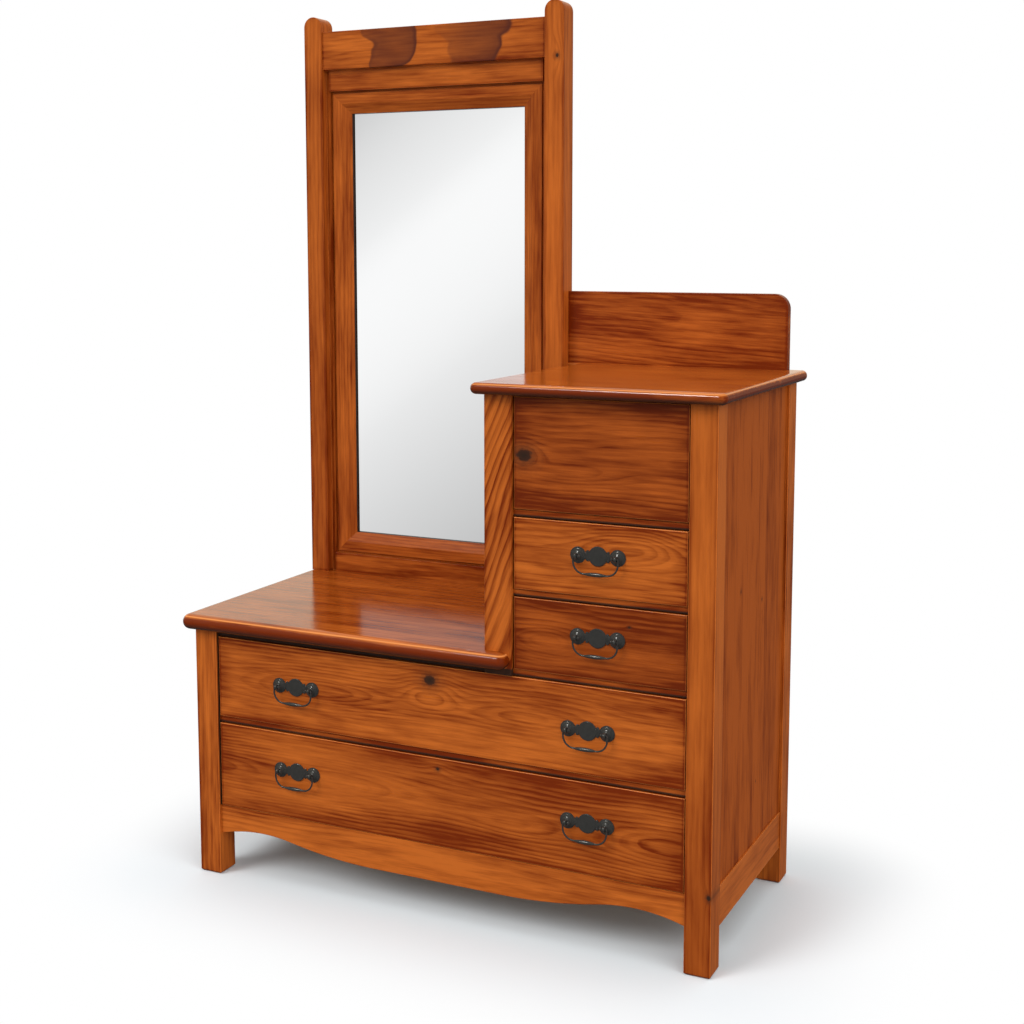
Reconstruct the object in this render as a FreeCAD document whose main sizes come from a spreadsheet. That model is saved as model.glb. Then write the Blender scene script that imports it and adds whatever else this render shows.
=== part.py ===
import FreeCAD, Part
import Sketcher
import math
import os
import re

# A combination dresser: a low chest of two wide drawers, a tower of two small drawers and a hat box on its
# right, and a tall mirror that stands on the back of the low top. Millimetres, +Z up, front towards -Y.
# The origin is on the floor, in the middle of everything that the piece covers.

doc = FreeCAD.newDocument("dresser")
Vector = FreeCAD.Vector

# ---------------------------------------------------------------------------------------------------------
# Driving dimensions
# ---------------------------------------------------------------------------------------------------------
DIMENSIONS = [
    ("case_width", 1100, "over the legs, side to side"),
    ("case_depth", 500, "front of the front legs to the back of the rear legs"),
    ("front_overhang", 25, "tops in front of the legs"),
    ("side_overhang", 20, "tops beyond the legs"),
    ("low_height", 545, "floor to the surface of the low top"),
    ("high_height", 1041, "floor to the surface of the upper top"),
    ("low_top_thickness", 31, "low top"),
    ("low_top_nose", 15.2, "rounding of the low top's edges"),
    ("low_top_corner", 17, "corners of the low top, seen from above"),
    ("upper_top_thickness", 21, "upper top"),
    ("upper_top_nose", 10.2, "rounding of the upper top's edges"),
    ("upper_top_corner", 13, "corners of the upper top, seen from above"),
    ("tongue_length", 51, "low top in front of the tower post"),
    ("leg_size", 50, "square legs"),
    ("foot_bevel", 4, "around the foot of each leg"),
    ("arris", 1.5, "rounding of exposed edges"),
    ("tower_width", 443, "tower, over its post and the right leg"),
    ("tower_post_width", 55, "post at the tower's left corner"),
    ("post_lap", 20, "taken off the back of the post's foot, for the rail"),
    ("panel_thickness", 18, "side panels and tower side"),
    ("panel_setback", 6, "side panels behind the legs' outer faces"),
    ("side_rail_setback", 3, "side rails behind the legs' outer faces"),
    ("side_rail_foot", 76, "floor to the side rails"),
    ("side_rail_top", 150, "floor to the top of the side rails"),
    ("tenon_thickness", 10, "tenons of the side rails and the apron"),
    ("tenon_length", 20, "how far a tenon goes into its leg"),
    ("tenon_shoulder", 10, "rail above and below a tenon"),
    ("rail_thickness", 12, "rails and runners between the drawers"),
    ("rail_depth", 60, "rails, front to back"),
    ("rear_rail_depth", 38, "rear rails, front to back"),
    ("rail_setback", 9, "rails behind the front of the legs"),
    ("runner_width", 60, "runners that carry the drawers"),
    ("guide_height", 20, "guides beside the drawers"),
    ("guide_clearance", 1.5, "between a guide and its drawer"),
    ("stop_thickness", 4, "drawer stops on the rails"),
    ("apron_thickness", 20, "shaped apron"),
    ("apron_setback", 6, "apron behind the front of the legs"),
    ("apron_top", 147, "floor to the apron's top edge"),
    ("apron_end", 86, "floor to the apron where it meets a leg"),
    ("apron_rise", 15, "arch beside each leg, above the apron's end"),
    ("apron_reach", 100, "leg to the top of that arch"),
    ("apron_drop", 26, "top of the arch down to the belly"),
    ("apron_run", 262, "top of the arch across to the belly"),
    ("side_gap", 3, "each side of a drawer front or the door"),
    ("foot_gap", 1, "under a drawer front"),
    ("head_gap", 2, "over a drawer front"),
    ("front_setback", 5, "drawer fronts and door behind the legs"),
    ("front_thickness", 20, "drawer fronts"),
    ("bottom_front_height", 173, "front of the bottom drawer"),
    ("middle_front_height", 164, "front of the drawer above it"),
    ("lower_small_height", 135, "front of the lower small drawer"),
    ("upper_small_height", 132, "front of the upper small drawer"),
    ("drawer_side", 12, "thickness of drawer sides and backs"),
    ("drawer_length", 445, "drawer sides, behind the front"),
    ("drawer_inset", 1, "drawer sides inside the ends of the front"),
    ("side_drop", 4, "drawer sides lower than the front"),
    ("back_drop", 6, "drawer backs lower than the sides"),
    ("bottom_thickness", 6, "drawer bottoms"),
    ("bottom_lift", 8, "drawer bottoms above the drawer's lower edge"),
    ("groove_depth", 6, "grooves that hold the drawer bottoms"),
    ("door_thickness", 18, "hat-box door"),
    ("door_foot_gap", 1.5, "under the door"),
    ("door_head_gap", 3, "over the door"),
    ("pivot_inset", 20, "door pivot from the door's right edge"),
    ("pivot_radius", 1.5, "pivot pins"),
    ("pivot_clearance", 0.05, "around a pivot pin in its bush"),
    ("pivot_bush_radius", 3, "bushes of the pivots"),
    ("pivot_flange_radius", 4.8, "flanges of the bushes"),
    ("pivot_depth", 9, "bushes in the wood"),
    ("pin_depth", 12, "pivot pins in the door"),
    ("latch_inset", 29, "middle of the latch from the door's left edge"),
    ("latch_width", 18, "latch body"),
    ("latch_height", 20, "latch body"),
    ("latch_length", 46, "latch body"),
    ("plunger_radius", 3, "latch plunger"),
    ("plunger_length", 34, "latch plunger"),
    ("plunger_drop", 12, "plunger under the upper top"),
    ("plunger_travel", 3, "how far the plunger is pressed"),
    ("striker_size", 16, "striking plate on the door"),
    ("striker_thickness", 1.5, "striking plate on the door"),
    ("back_panel_thickness", 6, "plywood backs"),
    ("mirror_height", 1785, "floor to the top of the mirror posts"),
    ("mirror_width", 627, "over the mirror posts"),
    ("mirror_overhang", 12, "left mirror post beyond the left legs"),
    ("mirror_post_width", 44, "mirror posts, seen from the front"),
    ("mirror_post_depth", 48, "mirror posts, front to back"),
    ("backboard_thickness", 20, "both backboards"),
    ("lower_backboard_height", 42, "above the low top"),
    ("lower_backboard_corner", 13, "its rounded left corner"),
    ("upper_backboard_height", 150, "above the upper top"),
    ("upper_backboard_corner", 30, "its rounded right corner"),
    ("upper_backboard_inset", 15, "its right end inside the right leg's face"),
    ("crest_top", 1752, "floor to the crest rail's top edge"),
    ("crest_bottom", 1670, "floor to the crest rail's lower edge"),
    ("crest_setback", 4, "crest rail behind the posts' front"),
    ("frame_rail_thickness", 20, "crest rail and mirror top rail"),
    ("frame_rail_setback", 15, "mirror rails behind the posts' front"),
    ("frame_bottom", 587, "floor to the moulded frame"),
    ("frame_top", 1624, "floor to the moulded frame's top"),
    ("stile_width", 10, "mirror stiles"),
    ("stile_setback", 19, "mirror stiles behind the posts' front"),
    ("frame_back", 2, "moulded frame inside the posts' rear face"),
    ("moulding_width", 49, "moulded frame, outer edge to the glass"),
    ("moulding_step", 5, "outer fillet of the moulding"),
    ("moulding_ridge", 27, "outer edge of the moulding to its ridge"),
    ("moulding_depth", 24.5, "ridge of the moulding to its back"),
    ("moulding_step_depth", 20, "outer fillet to the moulding's back"),
    ("moulding_lip_depth", 14.5, "inner lip to the moulding's back"),
    ("rebate_depth", 9, "rebate behind the lip"),
    ("rebate_width", 8, "rebate behind the lip"),
    ("glass_thickness", 4, "silvered glass"),
    ("clip_length", 26, "clips that hold the backing in"),
    ("clip_width", 12, "clips that hold the backing in"),
    ("clip_thickness", 1, "clips that hold the backing in"),
    ("clip_share", 0.2, "clips from the glass's corners, over its width or height"),
    ("clip_hole_offset", 8, "screw from the middle of a clip"),
    ("clip_screw_radius", 1.5, "their screws"),
    ("clip_screw_head", 3, "radius of their heads"),
    ("clip_screw_length", 13, "their screws"),
    ("post_screw_radius", 2.5, "screws through the backboard into the posts"),
    ("post_screw_length", 40, "screws through the backboard into the posts"),
    ("post_screw_head", 5, "radius of their countersunk heads"),
    ("post_screw_inset", 12, "screws inside the backboard's long edges"),
    ("screw_clearance", 0.1, "around every screw and bolt"),
    ("pull_spacing", 76, "between the two posts of a pull"),
    ("pull_wide_offset", 312, "wide drawers' pulls from the middle"),
    ("pull_small_x", 330, "small drawers' pulls from the middle"),
    ("pull_rise_bottom", 97, "pull above the bottom drawer front's lower edge"),
    ("pull_rise_middle", 82, "the same on the drawer above it"),
    ("pull_rise_lower_small", 75.5, "the same on the lower small drawer"),
    ("pull_rise_upper_small", 74, "the same on the upper small drawer"),
    ("plate_thickness", 2.5, "back plate of a pull"),
    ("rosette_radius", 15, "outer discs of the back plate"),
    ("roundel_radius", 18, "middle disc of the back plate"),
    ("neck_height", 15, "necks between the discs"),
    ("plate_bevel", 1, "around the back plate"),
    ("bolt_radius", 2.5, "threaded end of a pull post"),
    ("nut_radius", 5, "across the corners of a nut, halved"),
    ("nut_thickness", 4, "nuts inside the drawer"),
    ("bolt_end", 1, "bolts beyond their nuts"),
    ("collar_radius", 9, "foot of a pull post"),
    ("collar_height", 1.5, "foot of a pull post"),
    ("collar_slope", 2.25, "foot of a pull post, where it narrows"),
    ("post_neck_radius", 3.2, "pull post behind its head"),
    ("post_head_radius", 5.5, "round head of a pull post"),
    ("eye_width", 5.2, "pull post's head between its flats"),
    ("eye_clearance", 0.1, "around the bail in a pull post"),
    ("bail_reach", 13, "bail's pivot in front of the drawer front"),
    ("bail_wire_radius", 1.7, "bail at its ends"),
    ("bail_side_gap", 0.4, "between a bail and the flats of its posts"),
    ("bail_bend", 2, "bend of the bail beside a post"),
    ("bail_corner", 21, "lower corners of the bail"),
    ("bail_drop", 31, "pivot to the middle of the grip"),
    ("grip_length", 42, "thicker middle of the bail"),
    ("grip_radius", 3.8, "thicker middle of the bail"),
    ("grip_end_radius", 1.6, "where the grip runs out into the wire"),
    ("bulb_radius", 3.3, "round ends of the bail"),
]
ALIASES = {alias for alias, _, _ in DIMENSIONS}

sizes = doc.addObject("Spreadsheet::Sheet", "sizes")
for row, (alias, millimetres, note) in enumerate(DIMENSIONS, start=1):
    sizes.set(f"A{row}", note)
    sizes.set(f"B{row}", str(millimetres))
    sizes.setAlias(f"B{row}", alias)
doc.recompute()


# ---------------------------------------------------------------------------------------------------------
# Ways of making a piece
# ---------------------------------------------------------------------------------------------------------
def on_sheet(expression):
    """The expression with each alias written as the sheet's own cell."""
    return re.sub(
        r"[a-z_]{2,}",
        lambda word: f"sizes.{word[0]}" if word[0] in ALIASES else word[0],
        str(expression),
    )


def bind(thing, prop, expression):
    thing.setExpression(prop, on_sheet(expression))


def value(expression):
    """What the expression comes to now, as a number of millimetres."""
    return float(sizes.evalExpression(on_sheet(expression)))


def place(thing, x="0", y="0", z="0", prop="Placement"):
    for axis, where in zip("xyz", (x, y, z)):
        bind(thing, f"{prop}.Base.{axis}", where)


def board(name, x, y, z):
    """A square-edged board, given its two faces along each axis."""
    piece = doc.addObject("Part::Box", name)
    for side, (low, high) in zip(("Length", "Width", "Height"), (x, y, z)):
        bind(piece, side, f"({high}) - ({low})")
    place(piece, x[0], y[0], z[0])
    return piece


def group(name, pieces):
    """Separate solids that are kept together under one name."""
    node = doc.addObject("Part::Compound", name)
    node.Links = pieces
    return node


def cut(name, base, tool):
    node = doc.addObject("Part::Cut", name)
    node.Base = base
    node.Tool = tool
    return node


def fuse(name, pieces):
    node = doc.addObject("Part::MultiFuse", name)
    node.Shapes = pieces
    node.Refine = True
    return node


def copy_of(source, name, x, y, z):
    """The same piece again, in another place."""
    link = doc.addObject("App::Link", name)
    link.LinkedObject = source
    place(link, x, y, z, prop="LinkPlacement")
    return link


def new_body(name, x="0", y="0", z="0"):
    body = doc.addObject("PartDesign::Body", name)
    place(body, x, y, z)
    return body


def new_sketch(body, plane, lift="0", raised="0"):
    """A sketch on one of the body's own planes, lifted along its normal and raised along its second axis."""
    sketch = body.newObject("Sketcher::SketchObject", f"{body.Name}_sketch")
    origin_plane = next(part for part in body.Origin.OriginFeatures if part.Role == f"{plane}_Plane")
    sketch.AttachmentSupport = (origin_plane, [""])
    sketch.MapMode = "FlatFace"
    bind(sketch, "AttachmentOffset.Base.z", lift)
    bind(sketch, "AttachmentOffset.Base.y", raised)
    return sketch


def hold(sketch, kind, target, expression):
    """A driving dimension of the sketch, bound to the sheet."""
    index = sketch.addConstraint(Sketcher.Constraint(kind, *target, value(expression)))
    bind(sketch, f"Constraints[{index}]", expression)


def hold_point(sketch, edge, end, spot):
    hold(sketch, "DistanceX", (-1, 1, edge, end), spot[0])
    hold(sketch, "DistanceY", (-1, 1, edge, end), spot[1])


def outline(sketch, corners, closed=True):
    """A line through the corners. A third value is the radius of the edge that follows the corner: positive
    bulges to the right of the way travelled, negative to the left."""
    spots = [Vector(value(corner[0]), value(corner[1]), 0) for corner in corners]
    first = sketch.GeometryCount
    starts = []
    count = len(corners) if closed else len(corners) - 1
    for number, (corner, spot) in enumerate(zip(corners[:count], spots)):
        onward = spots[(number + 1) % len(spots)]
        if len(corner) == 2:
            sketch.addGeometry(Part.LineSegment(spot, onward), False)
            starts.append(1)
            continue
        sign = -1 if str(corner[2]).startswith("-") else 1
        radius = abs(value(corner[2]))
        chord = onward - spot
        inward = Vector(-chord.y, chord.x, 0).normalize() * sign
        rise = math.sqrt(max(radius**2 - (chord.Length / 2) ** 2, 0))
        centre = spot + chord * 0.5 + inward * rise
        begin, end = (spot, onward) if sign > 0 else (onward, spot)
        turn = [math.atan2(point.y - centre.y, point.x - centre.x) for point in (begin, end)]
        circle = Part.Circle(centre, Vector(0, 0, 1), radius)
        sketch.addGeometry(Part.ArcOfCircle(circle, turn[0], turn[1]), False)
        starts.append(1 if sign > 0 else 2)
    for number, corner in enumerate(corners[:count]):
        edge = first + number
        following = (number + 1) % count
        if closed or following:
            link = (edge, 3 - starts[number], first + following, starts[following])
            sketch.addConstraint(Sketcher.Constraint("Coincident", *link))
        hold_point(sketch, edge, starts[number], corner)
        if len(corner) == 3:
            hold(sketch, "Radius", (edge,), str(corner[2]).lstrip("-"))
    if not closed:
        hold_point(sketch, first + count - 1, 3 - starts[-1], corners[-1])


def circle(sketch, x, y, radius):
    ring = Part.Circle(Vector(value(x), value(y), 0), Vector(0, 0, 1), value(radius))
    index = sketch.addGeometry(ring, False)
    hold_point(sketch, index, 3, (x, y))
    hold(sketch, "Radius", (index,), radius)


def rectangle(x, y):
    return [(x[0], y[0]), (x[1], y[0]), (x[1], y[1]), (x[0], y[1])]


def pad(body, sketch, length):
    feature = body.newObject("PartDesign::Pad", f"{body.Name}_pad")
    feature.Profile = sketch
    bind(feature, "Length", length)
    body.Tip = feature
    return feature


def pocket(body, sketch, depth=None, forwards=False):
    """Cuts the sketch out of the body: right through both ways, or to a depth along or against its normal."""
    doc.recompute()
    before = body.Shape.Volume
    feature = body.newObject("PartDesign::Pocket", f"{body.Name}_pocket")
    feature.Profile = sketch
    if depth is None:
        feature.Type = "ThroughAll"
        feature.Midplane = True
    else:
        feature.Reversed = forwards
        bind(feature, "Length", depth)
    body.Tip = feature
    doc.recompute()
    if body.Shape.Volume >= before:
        raise RuntimeError(f"{body.Label}: the pocket cuts nothing")


def revolve(body, sketch):
    feature = body.newObject("PartDesign::Revolution", f"{body.Name}_turning")
    feature.Profile = sketch
    feature.ReferenceAxis = (sketch, ["H_Axis"])
    feature.Angle = 360
    body.Tip = feature


def soften(body, kind, size, wanted):
    """Rounds or bevels the body's edges that are wanted: a test of each edge's bounding box."""
    doc.recompute()
    tip = body.Tip
    names = [f"Edge{n}" for n, edge in enumerate(tip.Shape.Edges, start=1) if wanted(edge.BoundBox)]
    feature = body.newObject(f"PartDesign::{kind}", f"{body.Name}_{kind.lower()}")
    feature.Base = (tip, names)
    bind(feature, "Radius" if kind == "Fillet" else "Size", size)
    body.Tip = feature


def near(number, target):
    return abs(number - target) < 0.01


def sawn(name, plane, corners, thickness, x="0", y="0", z="0"):
    """A board sawn to an outline on one plane, and as thick as given along that plane's normal."""
    body = new_body(name, x, y, z)
    sketch = new_sketch(body, plane)
    outline(sketch, corners)
    pad(body, sketch, thickness)
    return body


def turned(name, profile, x="0", y="0", z="0"):
    """A round piece about a line along Y, from its half outline (along Y, radius)."""
    body = new_body(name, x, y, z)
    sketch = new_sketch(body, "YZ")
    outline(sketch, profile)
    revolve(body, sketch)
    return body


def cylinder(name, radius, length, x, y, z):
    """A plain rod or hole that stands up from its place."""
    rod = doc.addObject("Part::Cylinder", name)
    bind(rod, "Radius", radius)
    bind(rod, "Height", length)
    place(rod, x, y, z)
    return rod


def rod_along_y(name, radius, length, x, y, z):
    """The same, but it runs from its place towards the back."""
    rod = cylinder(name, radius, length, "0", "0", "0")
    rod.Placement = FreeCAD.Placement(Vector(0, 0, 0), FreeCAD.Rotation(Vector(1, 0, 0), -90))
    place(rod, x, y, z)
    return rod


def eased(name, x, y, z, wanted):
    """A board with rounded arrises, given its two faces along each axis."""
    body = sawn(name, "XZ", rectangle(x, z), f"({y[1]}) - ({y[0]})", y=y[1])
    soften(body, "Fillet", "arris", wanted)
    return body


nodes = []


def keep(node):
    """Marks a finished piece, or group of like pieces, of the dresser."""
    nodes.append(node)
    return node


# ---------------------------------------------------------------------------------------------------------
# Places that many pieces share
# ---------------------------------------------------------------------------------------------------------
LEFT = "-case_width / 2"
RIGHT = "case_width / 2"
FRONT = "(front_overhang - case_depth) / 2"
BACK = "(front_overhang + case_depth) / 2"
NOSE = f"{FRONT} - front_overhang"
LEFT_LEG = f"{LEFT} + leg_size"
RIGHT_LEG = f"{RIGHT} - leg_size"
LEFT_PANEL = f"{LEFT} + panel_setback + panel_thickness"
RIGHT_PANEL = f"{RIGHT} - panel_setback - panel_thickness"
TOWER = f"{RIGHT} - tower_width"
TOWER_INSIDE = f"{TOWER} + panel_thickness"
TOWER_POST = f"{TOWER} + tower_post_width"
FRONT_LEGS = f"{FRONT} + leg_size"
REAR_LEGS = f"{BACK} - leg_size"
RAIL_FRONT = f"{FRONT} + rail_setback"
RAIL_BACK = f"{RAIL_FRONT} + rail_depth"
REAR_RAIL_BACK = f"{REAR_LEGS} + rear_rail_depth"
LOW_UNDERSIDE = "low_height - low_top_thickness"
HIGH_UNDERSIDE = "high_height - upper_top_thickness"


def over_drawer(floor, front_height):
    """The underside of the rail over a drawer that stands on the floor given."""
    return f"{floor} + foot_gap + {front_height} + head_gap"


# The tops of the rails and runners, from the lowest upwards: each carries a drawer, the last the hat box.
BOTTOM_LEVEL = "apron_top"
MIDDLE_LEVEL = f"{over_drawer(BOTTOM_LEVEL, 'bottom_front_height')} + rail_thickness"
TOWER_LEVEL = f"{over_drawer(MIDDLE_LEVEL, 'middle_front_height')} + rail_thickness"
UPPER_LEVEL = f"{over_drawer(TOWER_LEVEL, 'lower_small_height')} + rail_thickness"
HAT_BOX_LEVEL = f"{over_drawer(UPPER_LEVEL, 'upper_small_height')} + rail_thickness"


def slab(level):
    """The height of a rail or runner whose top is at a level."""
    return (f"{level} - rail_thickness", level)


def upright(box):
    """Edges that stand up."""
    return box.ZLength > value("arris") and near(box.XLength, 0) and near(box.YLength, 0)


# ---------------------------------------------------------------------------------------------------------
# Legs, side rails and the shaped apron: rails are tenoned into the legs
# ---------------------------------------------------------------------------------------------------------
def side_rail(name, outer, inner):
    """A rail between two legs, with a tenon that runs on into both."""
    tenon_inset = f"(abs({inner} - ({outer})) - tenon_thickness) / 2"
    height = ("side_rail_foot", "side_rail_top")
    plain = board(f"{name}_plain", (outer, inner), (FRONT_LEGS, REAR_LEGS), height)
    tenon = board(
        f"{name}_tenon",
        (f"{outer} + {tenon_inset}", f"{outer} + {tenon_inset} + tenon_thickness"),
        (f"{FRONT_LEGS} - tenon_length", f"{REAR_LEGS} + tenon_length"),
        ("side_rail_foot + tenon_shoulder", "side_rail_top - tenon_shoulder"),
    )
    return fuse(name, [plain, tenon])


side_rails = keep(
    group(
        "side_rails",
        [
            side_rail("left_side_rail", f"{LEFT} + side_rail_setback", LEFT_PANEL),
            side_rail("right_side_rail", RIGHT_PANEL, f"{RIGHT} - side_rail_setback"),
        ],
    )
)

# The underside rises in an arch beside each leg, then eases down into a long flat belly. The two arcs meet
# where both lean by the same angle.
ARCH_RADIUS = "(apron_reach ^ 2 + apron_rise ^ 2) / (2 * apron_rise)"
EASE_ANGLE = "2 * atan(apron_drop / apron_run)"
BELLY_RADIUS = f"apron_run / sin({EASE_ANGLE}) - {ARCH_RADIUS}"
EASE_X = f"leg_size + apron_reach + {ARCH_RADIUS} * sin({EASE_ANGLE})"
EASE_Z = f"apron_end + apron_rise - {ARCH_RADIUS} * (1 - cos({EASE_ANGLE}))"
BELLY_X = "leg_size + apron_reach + apron_run"
BELLY_Z = "apron_end + apron_rise - apron_drop"
APRON_FRONT = f"{FRONT} + apron_setback"
APRON_BACK = f"{APRON_FRONT} + apron_thickness"

apron_board = sawn(
    "apron_board",
    "XZ",
    [
        (LEFT_LEG, "apron_top"),
        (LEFT_LEG, "apron_end", f"-({ARCH_RADIUS})"),
        (f"{LEFT} + {EASE_X}", EASE_Z, BELLY_RADIUS),
        (f"{LEFT} + {BELLY_X}", BELLY_Z),
        (f"{RIGHT} - ({BELLY_X})", BELLY_Z, BELLY_RADIUS),
        (f"{RIGHT} - ({EASE_X})", EASE_Z, f"-({ARCH_RADIUS})"),
        (RIGHT_LEG, "apron_end"),
        (RIGHT_LEG, "apron_top"),
    ],
    "apron_thickness",
    y=APRON_BACK,
)
soften(
    apron_board,
    "Chamfer",
    "arris",
    lambda box: near(box.YMax, -value("apron_thickness")) and box.ZMax < value("apron_top - tenon_shoulder"),
)
apron_tenon = board(
    "apron_tenon",
    (f"{LEFT_LEG} - tenon_length", f"{RIGHT_LEG} + tenon_length"),
    (
        f"{APRON_FRONT} + (apron_thickness - tenon_thickness) / 2",
        f"{APRON_FRONT} + (apron_thickness + tenon_thickness) / 2",
    ),
    ("apron_end + tenon_shoulder + apron_rise", "apron_top - tenon_shoulder"),
)
front_apron = keep(fuse("front_apron", [apron_board, apron_tenon]))
leg_mortises = group("leg_mortises", [side_rails, front_apron])


def make_leg(name, x, y, height):
    body = sawn(f"{name}_blank", "XY", rectangle(("0", "leg_size"), ("0", "leg_size")), height, x=x, y=y)
    soften(body, "Chamfer", "foot_bevel", lambda box: near(box.ZMax, 0))
    soften(body, "Fillet", "arris", upright)
    return keep(cut(name, body, leg_mortises))


make_leg("front_left_leg", LEFT, FRONT, LOW_UNDERSIDE)
make_leg("rear_left_leg", LEFT, REAR_LEGS, LOW_UNDERSIDE)
make_leg("front_right_leg", RIGHT_LEG, FRONT, HIGH_UNDERSIDE)
make_leg("rear_right_leg", RIGHT_LEG, REAR_LEGS, HIGH_UNDERSIDE)

# The tower's left front post is lapped over the rail beneath it.
tower_front_post = keep(
    sawn(
        "tower_front_post",
        "YZ",
        [
            (FRONT, f"{TOWER_LEVEL} - rail_thickness"),
            (f"{FRONT_LEGS} - post_lap", f"{TOWER_LEVEL} - rail_thickness"),
            (f"{FRONT_LEGS} - post_lap", TOWER_LEVEL),
            (FRONT_LEGS, TOWER_LEVEL),
            (FRONT_LEGS, HIGH_UNDERSIDE),
            (FRONT, HIGH_UNDERSIDE),
        ],
        "tower_post_width",
        x=TOWER,
    )
)
soften(tower_front_post, "Fillet", "arris", lambda box: upright(box) and near(box.YMin, value(FRONT)))

# ---------------------------------------------------------------------------------------------------------
# Sides and backs
# ---------------------------------------------------------------------------------------------------------
between_legs = (FRONT_LEGS, REAR_LEGS)
left_panel_width = (f"{LEFT} + panel_setback", LEFT_PANEL)
right_panel_width = (RIGHT_PANEL, f"{RIGHT} - panel_setback")
tower_side_depth = (FRONT_LEGS, REAR_RAIL_BACK)
keep(board("left_side_panel", left_panel_width, between_legs, ("side_rail_top", LOW_UNDERSIDE)))
keep(board("right_side_panel", right_panel_width, between_legs, ("side_rail_top", HIGH_UNDERSIDE)))
keep(board("tower_side_panel", (TOWER, TOWER_INSIDE), tower_side_depth, (TOWER_LEVEL, HIGH_UNDERSIDE)))
back_panel_depth = (REAR_RAIL_BACK, f"{REAR_RAIL_BACK} + back_panel_thickness")
keep(board("lower_back_panel", (LEFT_LEG, RIGHT_LEG), back_panel_depth, ("side_rail_foot", LOW_UNDERSIDE)))
keep(board("tower_back_panel", (TOWER, RIGHT_LEG), back_panel_depth, (LOW_UNDERSIDE, HIGH_UNDERSIDE)))

# ---------------------------------------------------------------------------------------------------------
# Frames between the drawers. The low top lies on the highest wide rail.
# ---------------------------------------------------------------------------------------------------------
PIVOT_X = f"{RIGHT_LEG} - side_gap - pivot_inset"
PIVOT_Y = f"{FRONT} + front_setback + door_thickness / 2"
LOWER_BUSH_SEAT = f"{HAT_BOX_LEVEL} - pivot_depth"
across = (LEFT_LEG, RIGHT_LEG)
tower_across = (TOWER_POST, RIGHT_LEG)
front_rail_depth = (RAIL_FRONT, RAIL_BACK)

upper_wide_rail = cut(
    "upper_wide_rail",
    board("upper_wide_rail_blank", across, front_rail_depth, slab(TOWER_LEVEL)),
    tower_front_post,
)
hat_box_rail = cut(
    "hat_box_rail",
    board("hat_box_rail_blank", tower_across, front_rail_depth, slab(HAT_BOX_LEVEL)),
    cylinder("lower_bush_seat", "pivot_bush_radius", "pivot_depth", PIVOT_X, PIVOT_Y, LOWER_BUSH_SEAT),
)
keep(
    group(
        "front_drawer_rails",
        [
            board("kicker_rail", across, (APRON_BACK, RAIL_BACK), slab(BOTTOM_LEVEL)),
            board("middle_rail", across, front_rail_depth, slab(MIDDLE_LEVEL)),
            upper_wide_rail,
            board("tower_rail", tower_across, front_rail_depth, slab(UPPER_LEVEL)),
            hat_box_rail,
        ],
    )
)

wide_levels = [("bottom", BOTTOM_LEVEL), ("middle", MIDDLE_LEVEL), ("tower", TOWER_LEVEL)]
runner_depth = (RAIL_BACK, REAR_LEGS)
rear_rail_depth = (REAR_LEGS, REAR_RAIL_BACK)
frame_pieces = []
for level_name, level in wide_levels:
    left_runner = (LEFT_PANEL, f"{LEFT_PANEL} + runner_width")
    frame_pieces.append(board(f"{level_name}_left_runner", left_runner, runner_depth, slab(level)))
    frame_pieces.append(board(f"{level_name}_rear_rail", across, rear_rail_depth, slab(level)))
for level_name, level in wide_levels + [("upper", UPPER_LEVEL)]:
    right_runner = (f"{RIGHT_PANEL} - runner_width", RIGHT_PANEL)
    frame_pieces.append(board(f"{level_name}_right_runner", right_runner, runner_depth, slab(level)))
for level_name, level, start in (("tower", TOWER_LEVEL, TOWER), ("upper", UPPER_LEVEL, TOWER_INSIDE)):
    inner_runner = (start, f"{TOWER_INSIDE} + runner_width")
    frame_pieces.append(board(f"{level_name}_inner_runner", inner_runner, runner_depth, slab(level)))
frame_pieces.append(board("upper_rear_rail", (TOWER_INSIDE, RIGHT_LEG), rear_rail_depth, slab(UPPER_LEVEL)))
keep(group("drawer_web_frames", frame_pieces))

# Guides keep each drawer straight, and stops behind its front keep it flush.
FRONTS_BACK = f"{FRONT} + front_setback + front_thickness"
SIDE_ROOM = "side_gap + drawer_inset - guide_clearance"
guide_pieces = []
drawer_bays = [
    ("bottom", BOTTOM_LEVEL, LEFT_PANEL, LEFT_LEG),
    ("middle", MIDDLE_LEVEL, LEFT_PANEL, LEFT_LEG),
    ("tower", TOWER_LEVEL, TOWER_INSIDE, TOWER_POST),
    ("upper", UPPER_LEVEL, TOWER_INSIDE, TOWER_POST),
]
for bay, level, wall, opening in drawer_bays:
    guide_rise = (level, f"{level} + guide_height")
    stop_rise = (level, f"{level} + stop_thickness")
    stop_depth = (FRONTS_BACK, f"{FRONTS_BACK} + drawer_side")
    left_guide = (wall, f"{opening} + {SIDE_ROOM}")
    right_guide = (f"{RIGHT_LEG} - ({SIDE_ROOM})", RIGHT_PANEL)
    left_stop = (f"{opening} + runner_width", f"{opening} + 2 * runner_width")
    right_stop = (f"{RIGHT_LEG} - 2 * runner_width", f"{RIGHT_LEG} - runner_width")
    guide_pieces.append(board(f"{bay}_left_guide", left_guide, between_legs, guide_rise))
    guide_pieces.append(board(f"{bay}_right_guide", right_guide, between_legs, guide_rise))
    guide_pieces.append(board(f"{bay}_left_stop", left_stop, stop_depth, stop_rise))
    guide_pieces.append(board(f"{bay}_right_stop", right_stop, stop_depth, stop_rise))
keep(group("drawer_guides", guide_pieces))

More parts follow.
